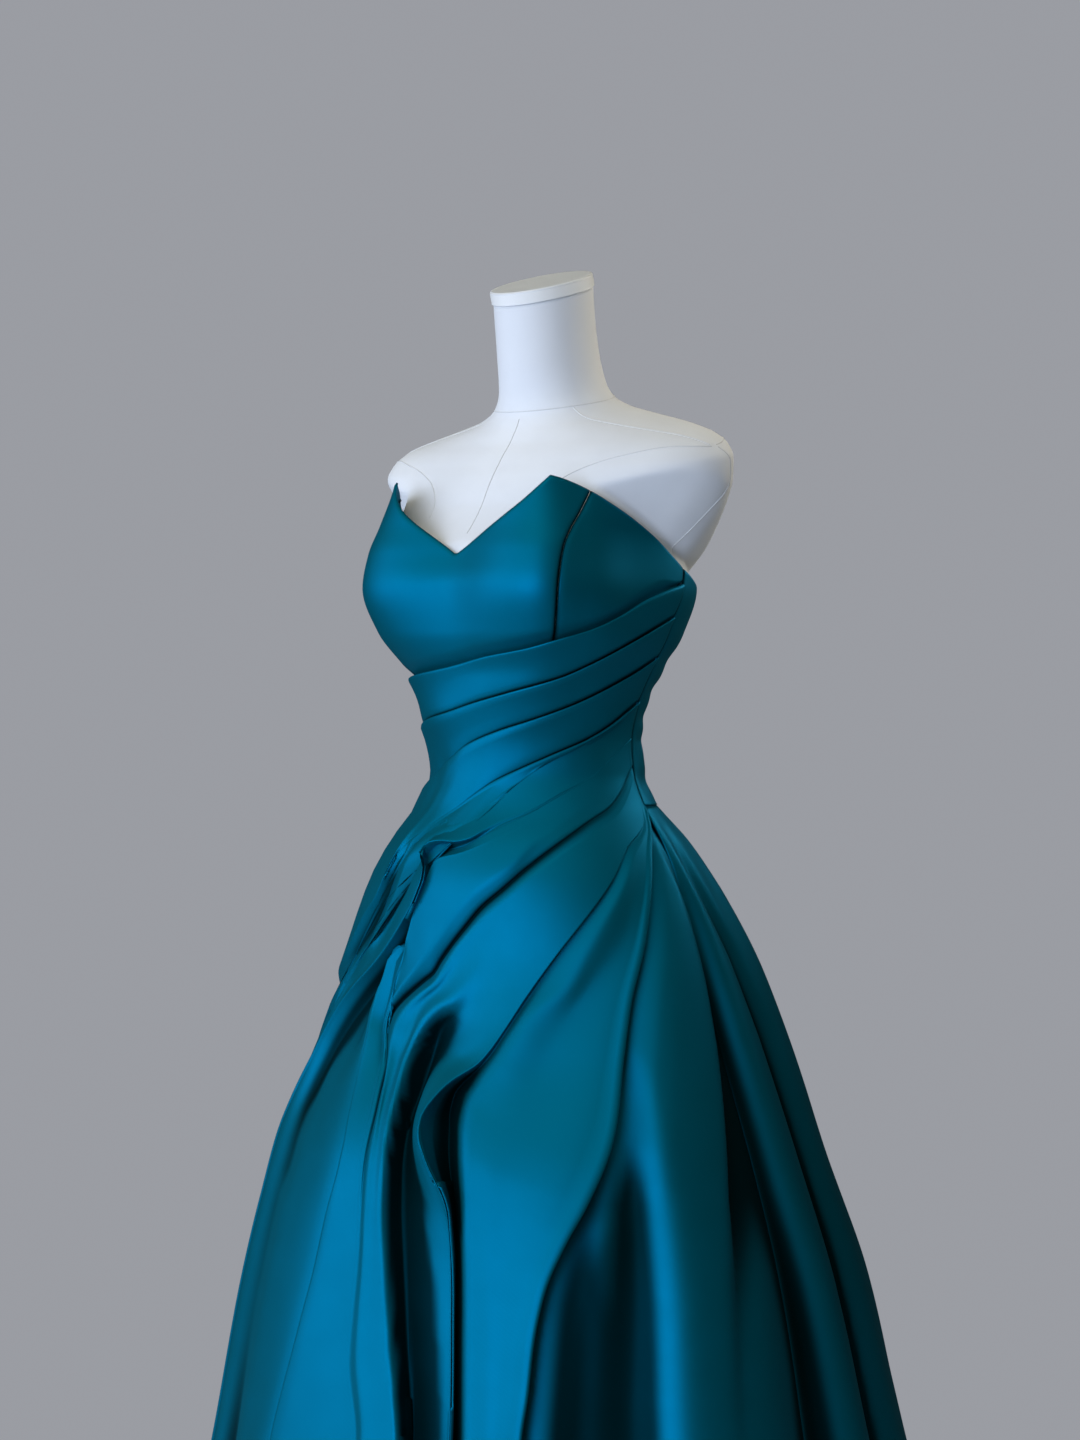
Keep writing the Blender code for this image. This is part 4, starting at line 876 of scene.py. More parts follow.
            (18.8, 637, -3), (19.2, 611, -7), (19.7, 579, -9), (20.8, 459, -11), (20, 12, -14))},
        {"name": "rimTwo", "kind": "rim", "sharp": 0.9,
         "amount": ((0, 0), (0.25, 0), (0.35, 1), (0.6, 1), (0.7, 0.3), (1, 0)),
         "points": (
            (91.5, 1027.5, 0), (87, 1000, 0), (70.9, 972, 0), (62.9, 946, 0), (50.6, 905, 0),
            (43.1, 878, 0), (33.9, 840, 0), (28.2, 812, 0), (23.9, 791, 1), (21.3, 781, 2),
            (18.9, 775, 4), (16.3, 769, 7), (14, 761, 10), (12.4, 752, 13), (11.3, 744, 15),
            (10.7, 735, 16), (10.8, 727, 16), (11.4, 717, 15), (12.7, 706, 13), (14.4, 693, 11),
            (16.4, 679, 8), (18, 666, 5), (18.8, 654, 2), (19.2, 638, -2), (19.7, 612, -6),
            (20.2, 579, -8), (21.2, 459, -10), (21, 12, -12))},
        {"name": "creaseTwo", "kind": "vee", "sharp": 0.2,
         "amount": ((0, 0.2), (0.06, 0.4), (0.14, 1), (0.32, 1), (0.36, 0.3), (0.4, 0), (1, 0)),
         "points": (
            (91.5, 1026, 0), (86.2, 997, -0.5), (70.8, 970, -2.5), (63.1, 944, -4), (50.7, 903, -5),
            (43.2, 876, -5.5), (33.9, 837, -5.5), (28, 809, -5.5), (23.8, 788, -6), (20.9, 777, -8),
            (18.5, 770, -12), (15.5, 762, -18), (13.1, 752, -23), (12.5, 738, -26), (13.5, 721, -27),
            (15, 696, -27), (16.8, 671, -26), (18.2, 641, -25), (19.2, 611, -24), (20, 559, -24),
            (21.1, 457, -26), (24, 12, -28))},
        {"name": "panelThree", "kind": "soft", "sharp": 0,
         "points": (
            (91.5, 1019, 0), (85.9, 993, 0), (75.3, 971, 0), (67.1, 941, 0), (59.4, 911, 0),
            (51.9, 879, 0), (45.2, 848, 0), (35.2, 824, 0), (31.2, 803, 0), (27.4, 784, 0),
            (24.5, 770, -1), (22.5, 759, -2), (20.9, 745, -3), (21.1, 725, -3), (22.3, 683, -3),
            (23.4, 632, -3), (24.4, 563, -4), (25.1, 462, -4), (27.5, 12, -4))},
        {"name": "panelDip", "kind": "soft", "sharp": 0,
         "points": (
            (91.5, 1010, 0), (86.5, 991, 0), (77, 967, 0), (69.5, 931, -1), (63, 892, -2.5),
            (54, 855, -4), (46, 820, -5), (39.5, 780, -5), (34, 735, -4), (30.5, 705, -2.5),
            (29, 683, -1), (29, 632, 0), (29.5, 563, 1), (29.5, 462, 1), (29.3, 12, 0))},
        {"name": "freeEdge", "kind": "soft", "sharp": 0,
         "points": (
            (91.5, 1004, 0), (88, 990, 0), (81, 965, 0), (73, 915, 0), (69, 884, 0), (63, 838, 0),
            (59, 792, 1), (54, 722, 4), (47, 662, 8), (43, 632, 9), (39, 591, 9.5), (37, 547, 9),
            (36, 502, 8), (35, 468, 7), (31, 12, 6))},
    ),
    # rows beside a line: distance below it with nothing made, distance when made, stands out, painted
    # shade
    "rows": {
        "roll": ((1.0, 1.2, -3.2, 0), (1.1, 0.2, -2.4, 0), (1.2, -0.5, -1.2, 0), (1.3, -0.5, 0.1, 0),
                 (1.4, 0.1, 1.1, 0), (1.6, 1.2, 1.7, 0), (3.0, 3.0, 1.9, 0)),
        "lap": ((-3.6, -4.2, -0.6, 0), (-3.0, -2.9, -1.0, 0.35), (-2.3, -1.4, -1.7, 1),
                (-1.6, 0.6, -2.3, 1), (-0.9, 3.4, -2.8, 1), (-0.4, 5.0, -2.5, 1), (0.0, 5.0, -1.7, 1),
                (0.4, 2.8, -1.0, 1), (0.8, 0.7, -0.3, 0.9), (1.3, -0.5, 0.6, 0.4),
                (1.8, -0.7, 1.6, 0.05), (2.3, -0.1, 2.4, 0), (3.0, 1.2, 2.85, 0)),
        "crease": ((-4.0, -4.0, 0, 0), (-2.0, -2.0, -0.3, 0.1), (-0.9, -0.9, -1.1, 0.5),
                   (0.0, 0.0, -1.8, 0.9), (0.9, 0.9, -1.2, 0.5), (2.0, 2.0, -0.4, 0.1), (4.0, 4.0, 0, 0)),
        "vee": ((-6.0, -6.0, 0.3, 0), (-3.0, -3.0, 0.1, 0), (-1.6, -1.6, -0.7, 0.3),
                (-0.7, -0.7, -2.6, 0.9), (0.0, 0.0, -4.6, 1), (1.2, 1.2, -4.6, 1), (2.6, 2.6, -3.2, 0.7),
                (4.5, 4.5, -1.7, 0.3), (7.5, 7.5, -0.6, 0)),
        "rim": ((-3.0, -3.0, 0, 0), (-1.2, -1.2, 0.3, 0), (-0.3, -0.3, 0.4, 0), (0.3, 0.3, 0.0, 0),
                (1.0, 1.0, -0.8, 0.2), (2.5, 2.5, -1.0, 0.3)),
        "hem": ((-7.5, 0.0), (-6.3, 0.8), (-4.2, 1.3), (-2.0, 1.3), (-0.7, 0.8), (0.0, 0.0)),
    },
    "main": {"topEdge": 6, "pleatTwo": 6, "pleatThree": 7, "hipEdge": 20, "rimOne": 5, "creaseOne": 7,
             "ridgeTwo": 5, "lineTwo": 4, "panelEdge": 8, "pleatSix": 24, "rimTwo": 5, "creaseTwo": 14},
    # painted shadow, a dark wedge under the hip's flap: lines that it lies between, heights where it
    # starts and ends
    "flapShadowPainted": ((3.2, 3.7, 4.5, 5.0), (852, 876, 948, 966)),
    "lapFace": (2.2, 15),               # how far a pleat's face stands out, and how far it reaches
    "lapShade": (0.6, 8),               # the same for the dip above it
    "lapBed": 2.0,
    "topBulge": (1.9, 18),
    # painted shade in creases and troughs: how fast a crest's reach falls off, then the depths where it
    # starts and is full
    "hollow": (0.17, 2.5, 11.5),
    "crestCap": 1.0,                    # crests above this count no higher in the shade
    "columnShares": ((0, 0.26, 0.74, 1), (0, 0.22, 0.62, 1)),
    "lineDegree": 2.6, "rowDegree": 2.9,   # millimetres to a degree, along a line and between lines
    "farAway": 99.0,
    "squeeze": 0.8, "hemSqueeze": 0.4, "hemRoom": 7.5,
    "evenly": 0.6, "hipEvenly": (0.3, 0.42),
    "seamFlat": 9,
}


class DrapeLine:
    def __init__(self, line, samples=900):
        points = np.array(line["points"], float)
        steps = np.hypot(*(np.diff(points[:, :2], axis=0) * np.array((drape["lineDegree"], 1.0))).T)
        knots = np.concatenate(([0], np.cumsum(steps)))
        dense = np.linspace(0, knots[-1], samples)
        self.values = np.array([smoothCurve(dense, knots, points[:, k]) for k in range(3)])
        steps = np.hypot(np.diff(self.values[0]) * drape["lineDegree"], np.diff(self.values[1]))
        self.share = np.concatenate(([0], np.cumsum(steps))) / np.sum(steps)
        self.name = line["name"]
        self.kind = line["kind"]
        self.sharp = line["sharp"]
        self.amount = line.get("amount", ((0, 1), (1, 1)))

    def at(self, share):
        return [np.interp(share, self.share, row) for row in self.values]

    def amountAt(self, share):
        return np.interp(share, *zip(*self.amount))


drapeLines = [DrapeLine(line) for line in drape["lines"]]
u = np.interp(np.linspace(0, 1, drape["columns"]), *drape["columnShares"])
lineAngle, lineHeight, lineDepth = np.array([line.at(u) for line in drapeLines]).transpose(1, 0, 2)
lineSharp = np.array([line.sharp for line in drapeLines])
lineGap = np.hypot(np.diff(lineAngle, axis=0) * drape["rowDegree"], np.diff(lineHeight, axis=0))
stripWidth = lineGap + 0.001
down = np.concatenate((np.zeros((1, len(u))), np.cumsum(stripWidth, axis=0)))
here = np.arange(len(u))
mains = [i for i, line in enumerate(drapeLines) if line.name in drape["main"]] + [len(drapeLines) - 1]
farAway = np.full(len(u), drape["farAway"])
made = {}
for k, line in enumerate(mains):
    # a pleat or crease fades out where its neighbours come close
    roomAbove = down[line] - down[mains[k - 1]] if k else farAway
    roomBelow = down[mains[k + 1]] - down[line] if k + 1 < len(mains) else farAway
    room = np.minimum(roomAbove, roomBelow)
    made[line] = drapeLines[line].amountAt(u) * np.clip(room / drape["reach"], 0, 1)


def placeAt(distance):
    # counts strips, at this distance from the top edge along each column
    inside = np.array([np.interp(distance[c], down[:, c], np.arange(len(down))) for c in here])
    return np.where(distance < 0, distance / stripWidth[0], inside)


def drapePoint(v):
    strip = np.clip(np.floor(v).astype(int), 0, len(drapeLines) - 2)
    share = v - strip
    angle = blendTo(lineAngle[strip, here], lineAngle[strip + 1, here], share)
    height = blendTo(lineHeight[strip, here], lineHeight[strip + 1, here], share)
    start, end = lineSharp[strip], lineSharp[strip + 1]
    t = np.clip(share, 0, 1)
    curve = (t * t * (3 - 2 * t) + start * (t ** 3 - 2 * t * t + t) + end * (t ** 3 - t * t))
    depth = blendTo(lineDepth[strip, here], lineDepth[strip + 1, here], curve)
    distance = blendTo(down[strip, here], down[strip + 1, here], t)
    out, reach = drape["lapFace"]
    dip, fade = drape["lapShade"]
    for line in mains:
        if drapeLines[line].kind == "lap":
            past = distance - down[line]
            face = out * np.exp(-(np.maximum(past, 0) / reach) ** 2)
            above = -dip * np.exp(np.minimum(past, 0) / fade)
            depth = depth + made[line] * np.where(past > -0.01, face, above)
    return angle, height, depth


rowsOut, rowsIn, rowShade = [], [], []


def addRow(point, shade, bed=None):
    rowsOut.append(point)
    rowsIn.append(point if bed is None else bed)
    rowShade.append(shade)


def rowEnds(line):
    if drapeLines[line].kind == "soft":
        return (3.0, 3.0) if line else (0.0, 3.0)
    rows = drape["rows"][drapeLines[line].kind]
    return max(-rows[0][0], 0), rows[-1][0]


# painted shadow: the dark wedge under the hip's flap, as an amount of darkening
def paintedFlapShadow(v, height):
    (early, full, end, late), (low, rise, fall, high) = drape["flapShadowPainted"]
    return (easeStep(v, early, full) * (1 - easeStep(v, end, late))
            * easeStep(height, low, rise) * (1 - easeStep(height, fall, high)))


noShade = np.zeros(len(u))
for k, line in enumerate(mains[:-1]):
    # how much the rows at this line have to be squeezed, above and below it
    above, below = rowEnds(line)
    before = rowEnds(mains[k - 1])[1] if k else 0
    after = max(rowEnds(mains[k + 1])[0], 0) if mains[k + 1] != mains[-1] else drape["hemRoom"]
    gapAbove = down[line] - down[mains[k - 1]] if k else farAway
    gapBelow = down[mains[k + 1]] - down[line]
    tightAbove = np.minimum(1, drape["squeeze"] * gapAbove / max(above + before, 1))
    tightBelow = np.minimum(1, drape["squeeze"] * gapBelow / (below + after))
    kind = "roll" if line == 0 else drapeLines[line].kind
    for flat, lapped, out, shade in drape["rows"][kind]:
        tight = tightAbove if flat < 0 else tightBelow
        amount = made[line] if kind != "roll" else np.ones(len(u))
        flatPlace = down[line] + flat * tight
        angle, height, depth = drapePoint(placeAt(flatPlace))
        if kind == "lap":
            over = lapped * np.minimum(tight, tightBelow if lapped > 0 else 1)
            reachTo = blendTo(flat * tight, over, amount)
            lapAngle, lapHeight, _ = drapePoint(placeAt(down[line] + reachTo))
            lapDepth = blendTo(depth, lineDepth[line] + out, amount)
            bed = np.minimum(depth, blendTo(depth, lineDepth[line] - drape["lapBed"], amount))
            addRow((lapAngle, lapHeight, lapDepth), shade * amount, (angle, height, bed))
        elif kind == "roll":
            rollAngle, rollHeight, _ = drapePoint(placeAt(lapped * tightBelow))
            addRow((rollAngle, rollHeight, depth + out), noShade, (angle, height, depth + min(out, 0)))
        else:
            addRow((angle, height, depth + out * amount), shade * amount)
    start = down[line] + below * tightBelow
    end = down[mains[k + 1]] - after * tightBelow
    startPlace, endPlace = placeAt(start), placeAt(end)
    count = drape["main"][drapeLines[line].name]
    # rows stand evenly between two lines, or follow the lines that lie between them
    evenly = drape["evenly"]
    if drapeLines[line].name == "hipEdge":
        evenly = evenly * (1 - easeStep(u, *drape["hipEvenly"]))
    for step in range(1, count + 1):
        share = step / (count + 1)
        v = blendTo(blendTo(startPlace, endPlace, share), placeAt(blendTo(start, end, share)), evenly)
        angle, height, depth = drapePoint(v)
        if line == 0:
            bulge, width = drape["topBulge"]
            depth = depth + bulge * np.exp(-(v * stripWidth[0] / width) ** 2)
        # fill rows get the painted shadow of the hip's flap
        addRow((angle, height, depth), paintedFlapShadow(v, height) * (angle < 0))
edgeTight = np.minimum(1, (down[-1] - down[mains[-2]]) * drape["hemSqueeze"] / drape["hemRoom"])
for fromEdge, out in drape["rows"]["hem"]:
    angle, height, depth = drapePoint(placeAt(down[-1] + fromEdge * edgeTight))
    addRow((angle, height, depth + out), noShade, (angle, height, depth))


def drapeGrid(rows):
    angle, height, depth = np.array(rows).transpose(1, 0, 2)
    gap = gapAngle(angle.ravel(), height.ravel()).reshape(angle.shape) / 2
    seam = leftSeam(height)
    share = (angle - dress["rightSeam"]) / (seam - dress["rightSeam"])
    angle = blendTo(dress["rightSeam"] + gap, seam - gap, share)
    # near the right seam the folds flatten
    depth = depth * easeStep(angle, dress["rightSeam"], dress["rightSeam"] + drape["seamFlat"])
    radius = dressRadius(angle.ravel(), height.ravel()).reshape(angle.shape) + depth
    return angle, height, depth, polar(angle, height, radius)


drapeAngle, drapeHeight, drapeDepth, drapeFace = drapeGrid(rowsOut)
inAngle, inHeight, inDepth, drapeIn = drapeGrid(rowsIn)
drapeLining = insideOf(drapeIn, drape["bed"], outwardOf(inAngle))
rowGap = np.hypot(np.diff(inAngle, axis=0) * drape["rowDegree"], np.diff(inHeight, axis=0))
rowPlace = np.concatenate((np.zeros((1, len(u))), np.cumsum(rowGap, axis=0)))
# painted shade: darker colour in the drape's troughs and creases and along its pleat lines
drapeHollowShade = hollowOf(np.minimum(drapeDepth, drape["crestCap"]), rowPlace, drape["hollow"])
drapeShade = np.maximum(drapeHollowShade, np.array(rowShade))
wrapDrape = clothGrid("wrapDrape", drapeFace, drapeLining, threadMap(drapeAngle, drapeHeight),
                      drapeSatin, drapeShade)
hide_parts("wrap_drape")
print("wrap drape made:", drapeFace.shape)

# dress form: rings from the foot up, held inside the bodice where that covers it
form = {
    "across": 176, "down": 190,
    "rings": (
        # height, half width, front, back, middle y, how far the front lies below the sides
        (850, 112, 74, 84, 0, 0), (852, 134, 88, 100, 0, 0), (862, 142, 95, 108, 0, 0),
        (885, 143, 98, 111, 0, 0), (915, 137, 99, 107, 0, 0), (945, 126, 98, 96, 0, 0),
        (970, 115, 96, 83, 0, 0), (990, 107, 94, 74, 0, 0), (1008, 101, 93, 68, 0, 0),
        (1022, 165, 190, 140, 0, 0), (1120, 165, 190, 140, 0, 0), (1212, 165, 190, 140, 0, 0),
        (1234, 165, 152, 119, 5, 0), (1246, 171, 138, 111, 9, 0), (1258, 177, 128, 104, 14, 1),
        (1270, 182, 121, 98, 18, 2), (1283, 187, 116, 93, 22, 4), (1295, 191, 112, 88, 25, 6),
        (1308, 195, 108, 83, 27, 8), (1328, 196, 100, 74, 29, 12), (1342, 189, 92, 68, 30, 14),
        (1352, 174, 85, 63, 30, 15), (1361, 148, 76, 58, 29, 15), (1370, 112, 68, 54, 28, 14),
        (1379, 78, 60, 51, 26, 13), (1389, 60, 53, 50, 23, 11), (1404, 51, 50, 50, 19, 9),
        (1430, 47.5, 49, 49, 13, 10), (1462, 46.5, 48, 48, 8, 12), (1490, 46.5, 48, 48, 5, 14.5),
    ),
    "ease": ((1008, 2.6), (1040, 1.8), (1085, 1.3), (1120, 2.4), (1160, 3.8), (1240, 3.8), (1310, 3.6)),
    "topEase": 12, "topSlope": 0.95, "seamMargin": 11,
    "soften": 5.0, "softenAt": (1190, 1235),
    # how the rows are shared out from foot to neck
    "rowShares": ((0, 0.1, 0.22, 0.42, 0.9, 1), (0, 0.03, 0.24, 0.58, 0.86, 1)),
    "seamRadius": 0.55,
    "neckSeam": 1389,
    # lines of the cover's seams, as (angle, ring height)
    "seams": (
        ((0, 1383), (0, 1370), (0, 1345), (0, 1315), (0, 1285), (0, 1262)),
        ((180, 1389), (180, 1370), (180, 1330), (180, 1290), (180, 1255), (180, 1230)),
    ),
    "armSeams": ((95, 1342), (84, 1346), (72, 1341), (60, 1332), (50, 1321), (43, 1309), (38, 1296),
                 (35, 1282)),
    "sideSeams": ((97, 1341), (100, 1326), (101, 1305), (99, 1282), (97, 1262), (95, 1246), (94, 1232)),
    "backSeams": ((97, 1343), (106, 1346), (118, 1340), (130, 1328), (139, 1312), (144, 1292),
                  (147, 1268), (149, 1244)),
    "shoulderSeams": ((95, 1343), (93, 1352), (90, 1361), (86, 1370), (80, 1380), (78, 1388)),
}
formHeights = [ring[0] for ring in form["rings"]]


def formPoint(turn, ring):
    halfWidth, front, back, middle, rise = (
        smoothCurve(ring, formHeights, [row[c] for row in form["rings"]]) for c in range(1, 6))
    x = halfWidth * np.sin(turn)
    y = middle - np.where(np.cos(turn) > 0, front, back) * np.cos(turn)
    height = ring - rise * np.cos(turn)
    angle = np.degrees(np.arctan2(x, -y))
    radius = np.hypot(x, y)
    clear = height - topEdge(angle)
    inside = dressRadius(angle, height) - dress["cloth"] - smoothCurve(height, *zip(*form["ease"]))
    inside -= np.where(inFront(angle, height, form["seamMargin"]), coveredDepth(angle, height), 0)
    inside -= dress["backPuckers"][0][1] * puckerStrength(angle, height)
    inside += form["topSlope"] * np.maximum(clear - form["topEase"], 0)
    soft = form["soften"] * easeStep(height, *form["softenAt"])
    fitted = 0.5 * (radius + inside - np.sqrt((radius - inside) ** 2 + soft ** 2))
    fitted = np.minimum(fitted, np.minimum(radius, inside))
    radius = np.where(height > dress["waistSeam"], fitted, radius)
    return polar(angle, height, radius)


bm = bmesh.new()
bmesh.ops.create_grid(bm, x_segments=form["across"], y_segments=form["down"], size=0.5)
place = np.array([vert.co[:2] for vert in bm.verts])
share = np.rint((place[:, 1] + 0.5) * form["down"]) / form["down"]
ringShare = np.interp(share, *form["rowShares"])
formVerts = formPoint(place[:, 0] * 2 * np.pi, blendTo(formHeights[0], formHeights[-1], ringShare))
for vert, point in zip(bm.verts, formVerts):
    vert.co = point
bmesh.ops.remove_doubles(bm, verts=bm.verts, dist=0.00001)
bmesh.ops.holes_fill(bm, edges=[edge for edge in bm.edges if edge.is_boundary])
bmesh.ops.recalc_face_normals(bm, faces=bm.faces)
formMesh = bpy.data.meshes.new("formTorso")
bm.to_mesh(formMesh)
bm.free()
formMesh.shade_smooth()
formTorso = bpy.data.objects.new("formTorso", formMesh)
bpy.context.scene.collection.objects.link(formTorso)

coverLook = {"white": (0.80, 0.80, 0.79), "dull": (0.77, 0.77, 0.765), "clean": (0.83, 0.83, 0.82),
             "roughness": 0.70, "knitScale": 520.0, "ribScale": 430.0, "patchScale": 9.0}
cover = Finish("whiteCover", coverLook["white"], 0.72)
cover.shader.inputs["Specular IOR Level"].default_value = 0.3
where = cover.add("ShaderNodeTexCoord").outputs["Object"]
knit = cover.number("ShaderNodeTexWave", {"wave_type": "BANDS", "bands_direction": "Z"},
                    {"Vector": where, "Scale": coverLook["knitScale"], "Distortion": 1.4,
                     "Detail": 2.0}, output=1)
rib = cover.number("ShaderNodeTexWave", {"wave_type": "BANDS", "bands_direction": "DIAGONAL"},
                   {"Vector": where, "Scale": coverLook["ribScale"], "Distortion": 1.0}, output=1)
patch = cover.number("ShaderNodeTexNoise", None,
                     {"Vector": where, "Scale": coverLook["patchScale"], "Detail": 4.0})
cover.set(Base_Color=cover.mixColour(patch.between(0.35, 0.7), coverLook["dull"], coverLook["clean"]),
          Roughness=coverLook["roughness"] + (patch - 0.5) * 0.1)
cover.bump(knit * 0.6 + rib * 0.4, 0.22, 0.0005)
formMesh.materials.append(cover.material)

# the cover's seams are thin raised lines, half sunk into it
seamCurve = bpy.data.curves.new("formSeams", "CURVE")
seamCurve.dimensions = "3D"
seamCurve.bevel_depth = form["seamRadius"] * mm
seamCurve.bevel_resolution = 1
seamCurve.use_fill_caps = True


def ringTurn(angle, ring):
    # the ring's own turn that stands at this angle
    turn = np.linspace(-np.pi, np.pi, 721)
    points = formPoint(turn, np.full(len(turn), float(ring)))
    angles = np.unwrap(np.arctan2(points[:, 0], -points[:, 1]))
    return np.interp(np.radians(angle), angles, turn)


def addSeam(turns, rings, closed=False):
    points = formPoint(np.asarray(turns, float), np.asarray(rings, float))
    line = seamCurve.splines.new("POLY")
    line.points.add(len(points) - 1)
    line.use_cyclic_u = closed
    for spot, point in zip(line.points, points):
        spot.co = (*point, 1)


def seamAlong(line, side=1, count=60):
    knots = np.arange(len(line))
    dense = np.linspace(0, len(line) - 1, count)
    angles = smoothCurve(dense, knots, [p[0] for p in line])
    rings = smoothCurve(dense, knots, [p[1] for p in line])
    turns = [side * ringTurn(angle, ring) for angle, ring in zip(angles, rings)]
    addSeam(turns, rings)


for line in form["seams"]:
    seamAlong(line)
for line in ("armSeams", "sideSeams", "backSeams", "shoulderSeams"):
    for side in (-1, 1):
        seamAlong(form[line], side)
addSeam(np.linspace(-np.pi, np.pi, 145)[:-1], np.full(144, float(form["neckSeam"])), True)
formSeams = bpy.data.objects.new("formSeams", seamCurve)
bpy.context.scene.collection.objects.link(formSeams)
seamFinish = Finish("whiteSeam", (0.70, 0.69, 0.67), 0.75)
where = seamFinish.add("ShaderNodeTexCoord").outputs["Object"]
twist = seamFinish.number("ShaderNodeTexNoise", None, {"Vector": where, "Scale": 900.0})
seamFinish.set(Base_Color=seamFinish.mixColour(twist, (0.66, 0.65, 0.63), (0.74, 0.73, 0.71)))
seamCurve.materials.append(seamFinish.material)
for piece in (formTorso, formSeams):
    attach(piece, "root")
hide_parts("form_torso")

# neck cap, slanted as the neck's top is
cap = {"lip": 1.5, "thickness": 12.0, "lift": 0.45, "round": 2.2, "roundSteps": 6,
       "groove": 0.8, "grooveHeight": 0.6, "inset": 4.0, "segments": 112}


def growOutline(bm, outline):
    grown = bmesh.ops.extrude_face_region(bm, geom=outline)["geom"]
    return ([item for item in grown if isinstance(item, bmesh.types.BMFace)],
            [item for item in grown if isinstance(item, bmesh.types.BMVert)])


topRing = form["rings"][-1]
slant = math.atan2(topRing[5], topRing[2])
bm = bmesh.new()
bmesh.ops.create_circle(bm, cap_ends=True, segments=cap["segments"],
                        radius=(topRing[2] + cap["lip"] - cap["groove"]) * mm)
outline = list(bm.faces)
size = (topRing[2] + cap["lip"]) * mm
wall = cap["thickness"] - cap["round"] - cap["grooveHeight"]
for out, up in ((cap["groove"], cap["grooveHeight"]), (0.0, cap["grooveHeight"]), (0.0, wall)):
    outline, ring = growOutline(bm, outline)
    bmesh.ops.translate(bm, verts=ring, vec=(0, 0, up * mm))
    if out:
        bmesh.ops.scale(bm, verts=ring, vec=(size / (size - out * mm),) * 2 + (1,))
for step in range(1, cap["roundSteps"] + 1):
    bend = math.radians(90 / cap["roundSteps"] * step)
    before = math.radians(90 / cap["roundSteps"] * (step - 1))
    outline, ring = growOutline(bm, outline)
    rise = cap["round"] * (math.sin(bend) - math.sin(before)) * mm
    old = size - cap["round"] * (1 - math.cos(before)) * mm
    now = size - cap["round"] * (1 - math.cos(bend)) * mm
    bmesh.ops.translate(bm, verts=ring, vec=(0, 0, rise))
    bmesh.ops.scale(bm, verts=ring, vec=(now / old, now / old, 1))
bmesh.ops.inset_region(bm, faces=outline, thickness=cap["inset"] * mm)
underside = [face for face in bm.faces if len(face.verts) > 4 and face.calc_center_median().z < 0.0001]
bmesh.ops.delete(bm, geom=underside, context="FACES_ONLY")
bmesh.ops.holes_fill(bm, edges=[edge for edge in bm.edges if edge.is_boundary])
bmesh.ops.recalc_face_normals(bm, faces=bm.faces)
for vert in bm.verts:
    x, y, z = (value / mm for value in vert.co)
    x *= (topRing[1] + cap["lip"]) / (topRing[2] + cap["lip"])
    vert.co = (x * mm, (y + topRing[4] - z * math.sin(slant)) * mm,
               (topRing[0] + cap["lift"] + y * math.tan(slant) + z * math.cos(slant)) * mm)
capMesh = bpy.data.meshes.new("neckCap")
bm.to_mesh(capMesh)
bm.free()
capMesh.shade_smooth()
neckCap = bpy.data.objects.new("neckCap", capMesh)
bpy.context.scene.collection.objects.link(neckCap)
capFinish = Finish("whiteCap", (0.82, 0.82, 0.80), 0.38)
where = capFinish.add("ShaderNodeTexCoord").outputs["Object"]
spot = capFinish.number("ShaderNodeTexNoise", None, {"Vector": where, "Scale": 26.0, "Detail": 6.0})
capWhite = capFinish.mixColour(spot.between(0.3, 0.75), (0.79, 0.79, 0.77), (0.84, 0.84, 0.82))
capFinish.set(Roughness=0.34 + spot * 0.14, Base_Color=capWhite)
capFinish.bump(spot, 0.06, 0.0005)
capMesh.materials.append(capFinish.material)
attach(neckCap, "root")
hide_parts("form_neck_cap")

# stand: the CAD's own parts in brushed steel
steelLook = {"colour": (0.56, 0.56, 0.57), "dark": (0.50, 0.50, 0.51), "bright": (0.62, 0.62, 0.62),
             "brush": (900.0, 900.0, 9.0)}
steel = Finish("brushedSteel", steelLook["colour"], 0.32, 1.0)
where = steel.add("ShaderNodeTexCoord").outputs["Object"]
stretch = steel.add("ShaderNodeMapping", {"vector_type": "POINT"},
                    {"Vector": where, "Scale": steelLook["brush"]})
brush = steel.number("ShaderNodeTexNoise", None,
                     {"Vector": stretch.outputs[0], "Scale": 1.0, "Detail": 3.0})
smear = steel.number("ShaderNodeTexNoise", None, {"Vector": where, "Scale": 14.0, "Detail": 4.0})
steel.set(Base_Color=steel.mixColour(smear, steelLook["dark"], steelLook["bright"]),
          Roughness=0.26 + brush * 0.14 + smear * 0.06)
steel.bump(brush, 0.05, 0.0002)
for node in ("stand_pole", "stand_collar", "stand_base"):
    for number in range(len(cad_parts[node].material_slots)):
        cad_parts[node].material_slots[number].material = steel.material
print("form and stand made")

# floor, light
floor = {"size": 2.1, "colour": (0.62, 0.62, 0.64)}
floorFinish = Finish("paleFloor", floor["colour"], 0.85)
bm = bmesh.new()
bmesh.ops.create_circle(bm, cap_ends=True, segments=96, radius=floor["size"])
bmesh.ops.translate(bm, verts=bm.verts, vec=(0, 0, -0.0005))
floorMesh = bpy.data.meshes.new("studioFloor")
bm.to_mesh(floorMesh)
bm.free()
floorMesh.materials.append(floorFinish.material)
studioFloor = bpy.data.objects.new("studioFloor", floorMesh)
bpy.context.scene.collection.objects.link(studioFloor)

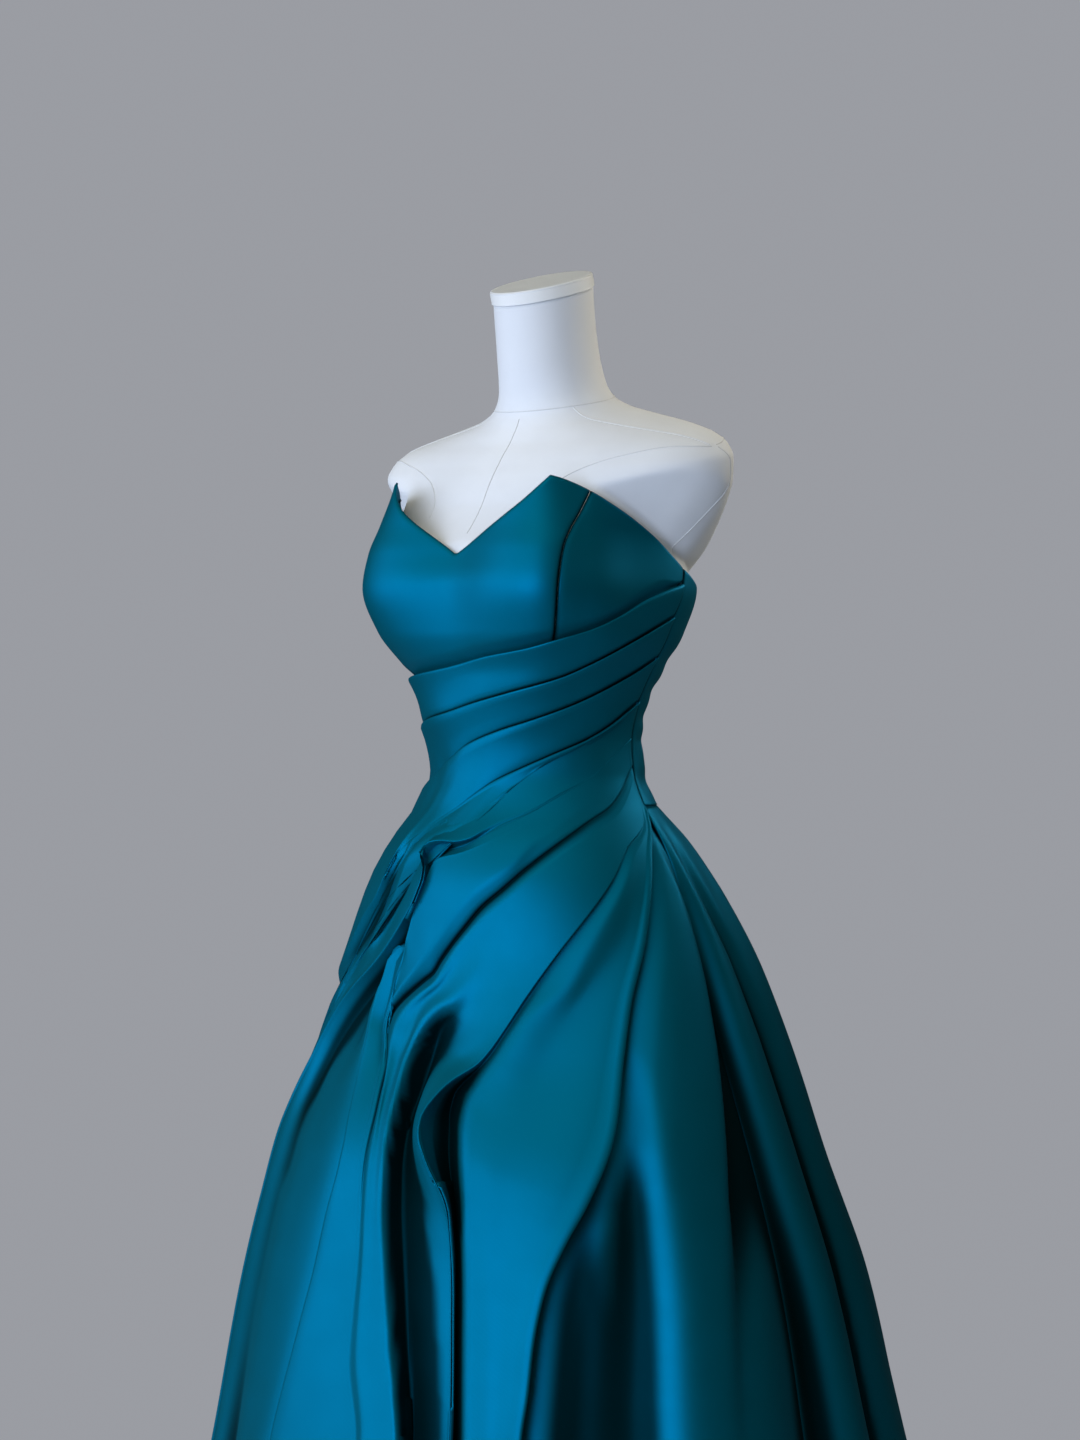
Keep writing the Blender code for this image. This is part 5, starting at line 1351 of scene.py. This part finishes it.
lights = {
    # name: turn, height, distance, width, tall, power, colour, height aimed at, spread
    "window": (-38, 1.4, 3.2, 2.6, 2.4, 54, (0.56, 0.70, 1.0), 1.0, 180),
    "frontPanel": (12, 1.05, 3.3, 2.2, 2.2, 68, (0.56, 0.70, 1.0), 1.1, 180),
    "ceilingPanel": (30, 3.6, 1.2, 2.4, 2.4, 12, (1.0, 0.95, 0.84), 1.0, 180),
    "sidePanel": (150, 1.85, 1.2, 0.5, 0.5, 1.1, (1.0, 0.96, 0.88), 1.42, 60),
}
for name, (around, height, distance, wide, tall, power, colour, target, spread) in lights.items():
    data = bpy.data.lights.new(name, "AREA")
    data.shape = "RECTANGLE"
    data.size = wide
    data.size_y = tall
    data.energy = power
    data.color = colour
    data.spread = math.radians(spread)
    lamp = bpy.data.objects.new(name, data)
    bearing = math.radians(around)
    lamp.location = (distance * math.sin(bearing), -distance * math.cos(bearing), height)
    aim = Vector((0, 0, target)) - lamp.location
    lamp.rotation_euler = aim.to_track_quat("-Z", "Y").to_euler()
    bpy.context.scene.collection.objects.link(lamp)

studio = {"wall": (0.325, 0.335, 0.365), "dim": (0.050, 0.052, 0.046), "ceiling": (0.60, 0.58, 0.47),
          "lean": -20, "aim": (0.8, 0.6), "ramp": (0.30, 0.95)}
world = bpy.data.worlds.new("studioRoom")
bpy.context.scene.world = world
world.use_nodes = True
nodes, links = world.node_tree.nodes, world.node_tree.links
wall = nodes["Background"]
wall.inputs["Color"].default_value = (*studio["wall"], 1)
glow = nodes.new("ShaderNodeBackground")
facing = nodes.new("ShaderNodeTexCoord")
slope = nodes.new("ShaderNodeVectorMath")
slope.operation = "DOT_PRODUCT"
lean = math.radians(studio["lean"])     # the ceiling's light leans to the front
level, upward = studio["aim"]
slope.inputs[1].default_value = (level * math.sin(lean), -level * math.cos(lean), upward)
ramp = nodes.new("ShaderNodeValToRGB")
ramp.color_ramp.interpolation = "EASE"
ramp.color_ramp.elements[0].position = studio["ramp"][0]
ramp.color_ramp.elements[0].color = (*studio["dim"], 1)
ramp.color_ramp.elements[1].position = studio["ramp"][1]
ramp.color_ramp.elements[1].color = (*studio["ceiling"], 1)
links.new(facing.outputs["Generated"], slope.inputs[0])
links.new(slope.outputs["Value"], ramp.inputs[0])
links.new(ramp.outputs[0], glow.inputs["Color"])
seen = nodes.new("ShaderNodeLightPath")
choose = nodes.new("ShaderNodeMixShader")
links.new(seen.outputs["Is Camera Ray"], choose.inputs[0])
links.new(glow.outputs[0], choose.inputs[1])
links.new(wall.outputs[0], choose.inputs[2])
links.new(choose.outputs[0], nodes["World Output"].inputs["Surface"])
bpy.context.scene.view_settings.view_transform = "Standard"
print("studio made")
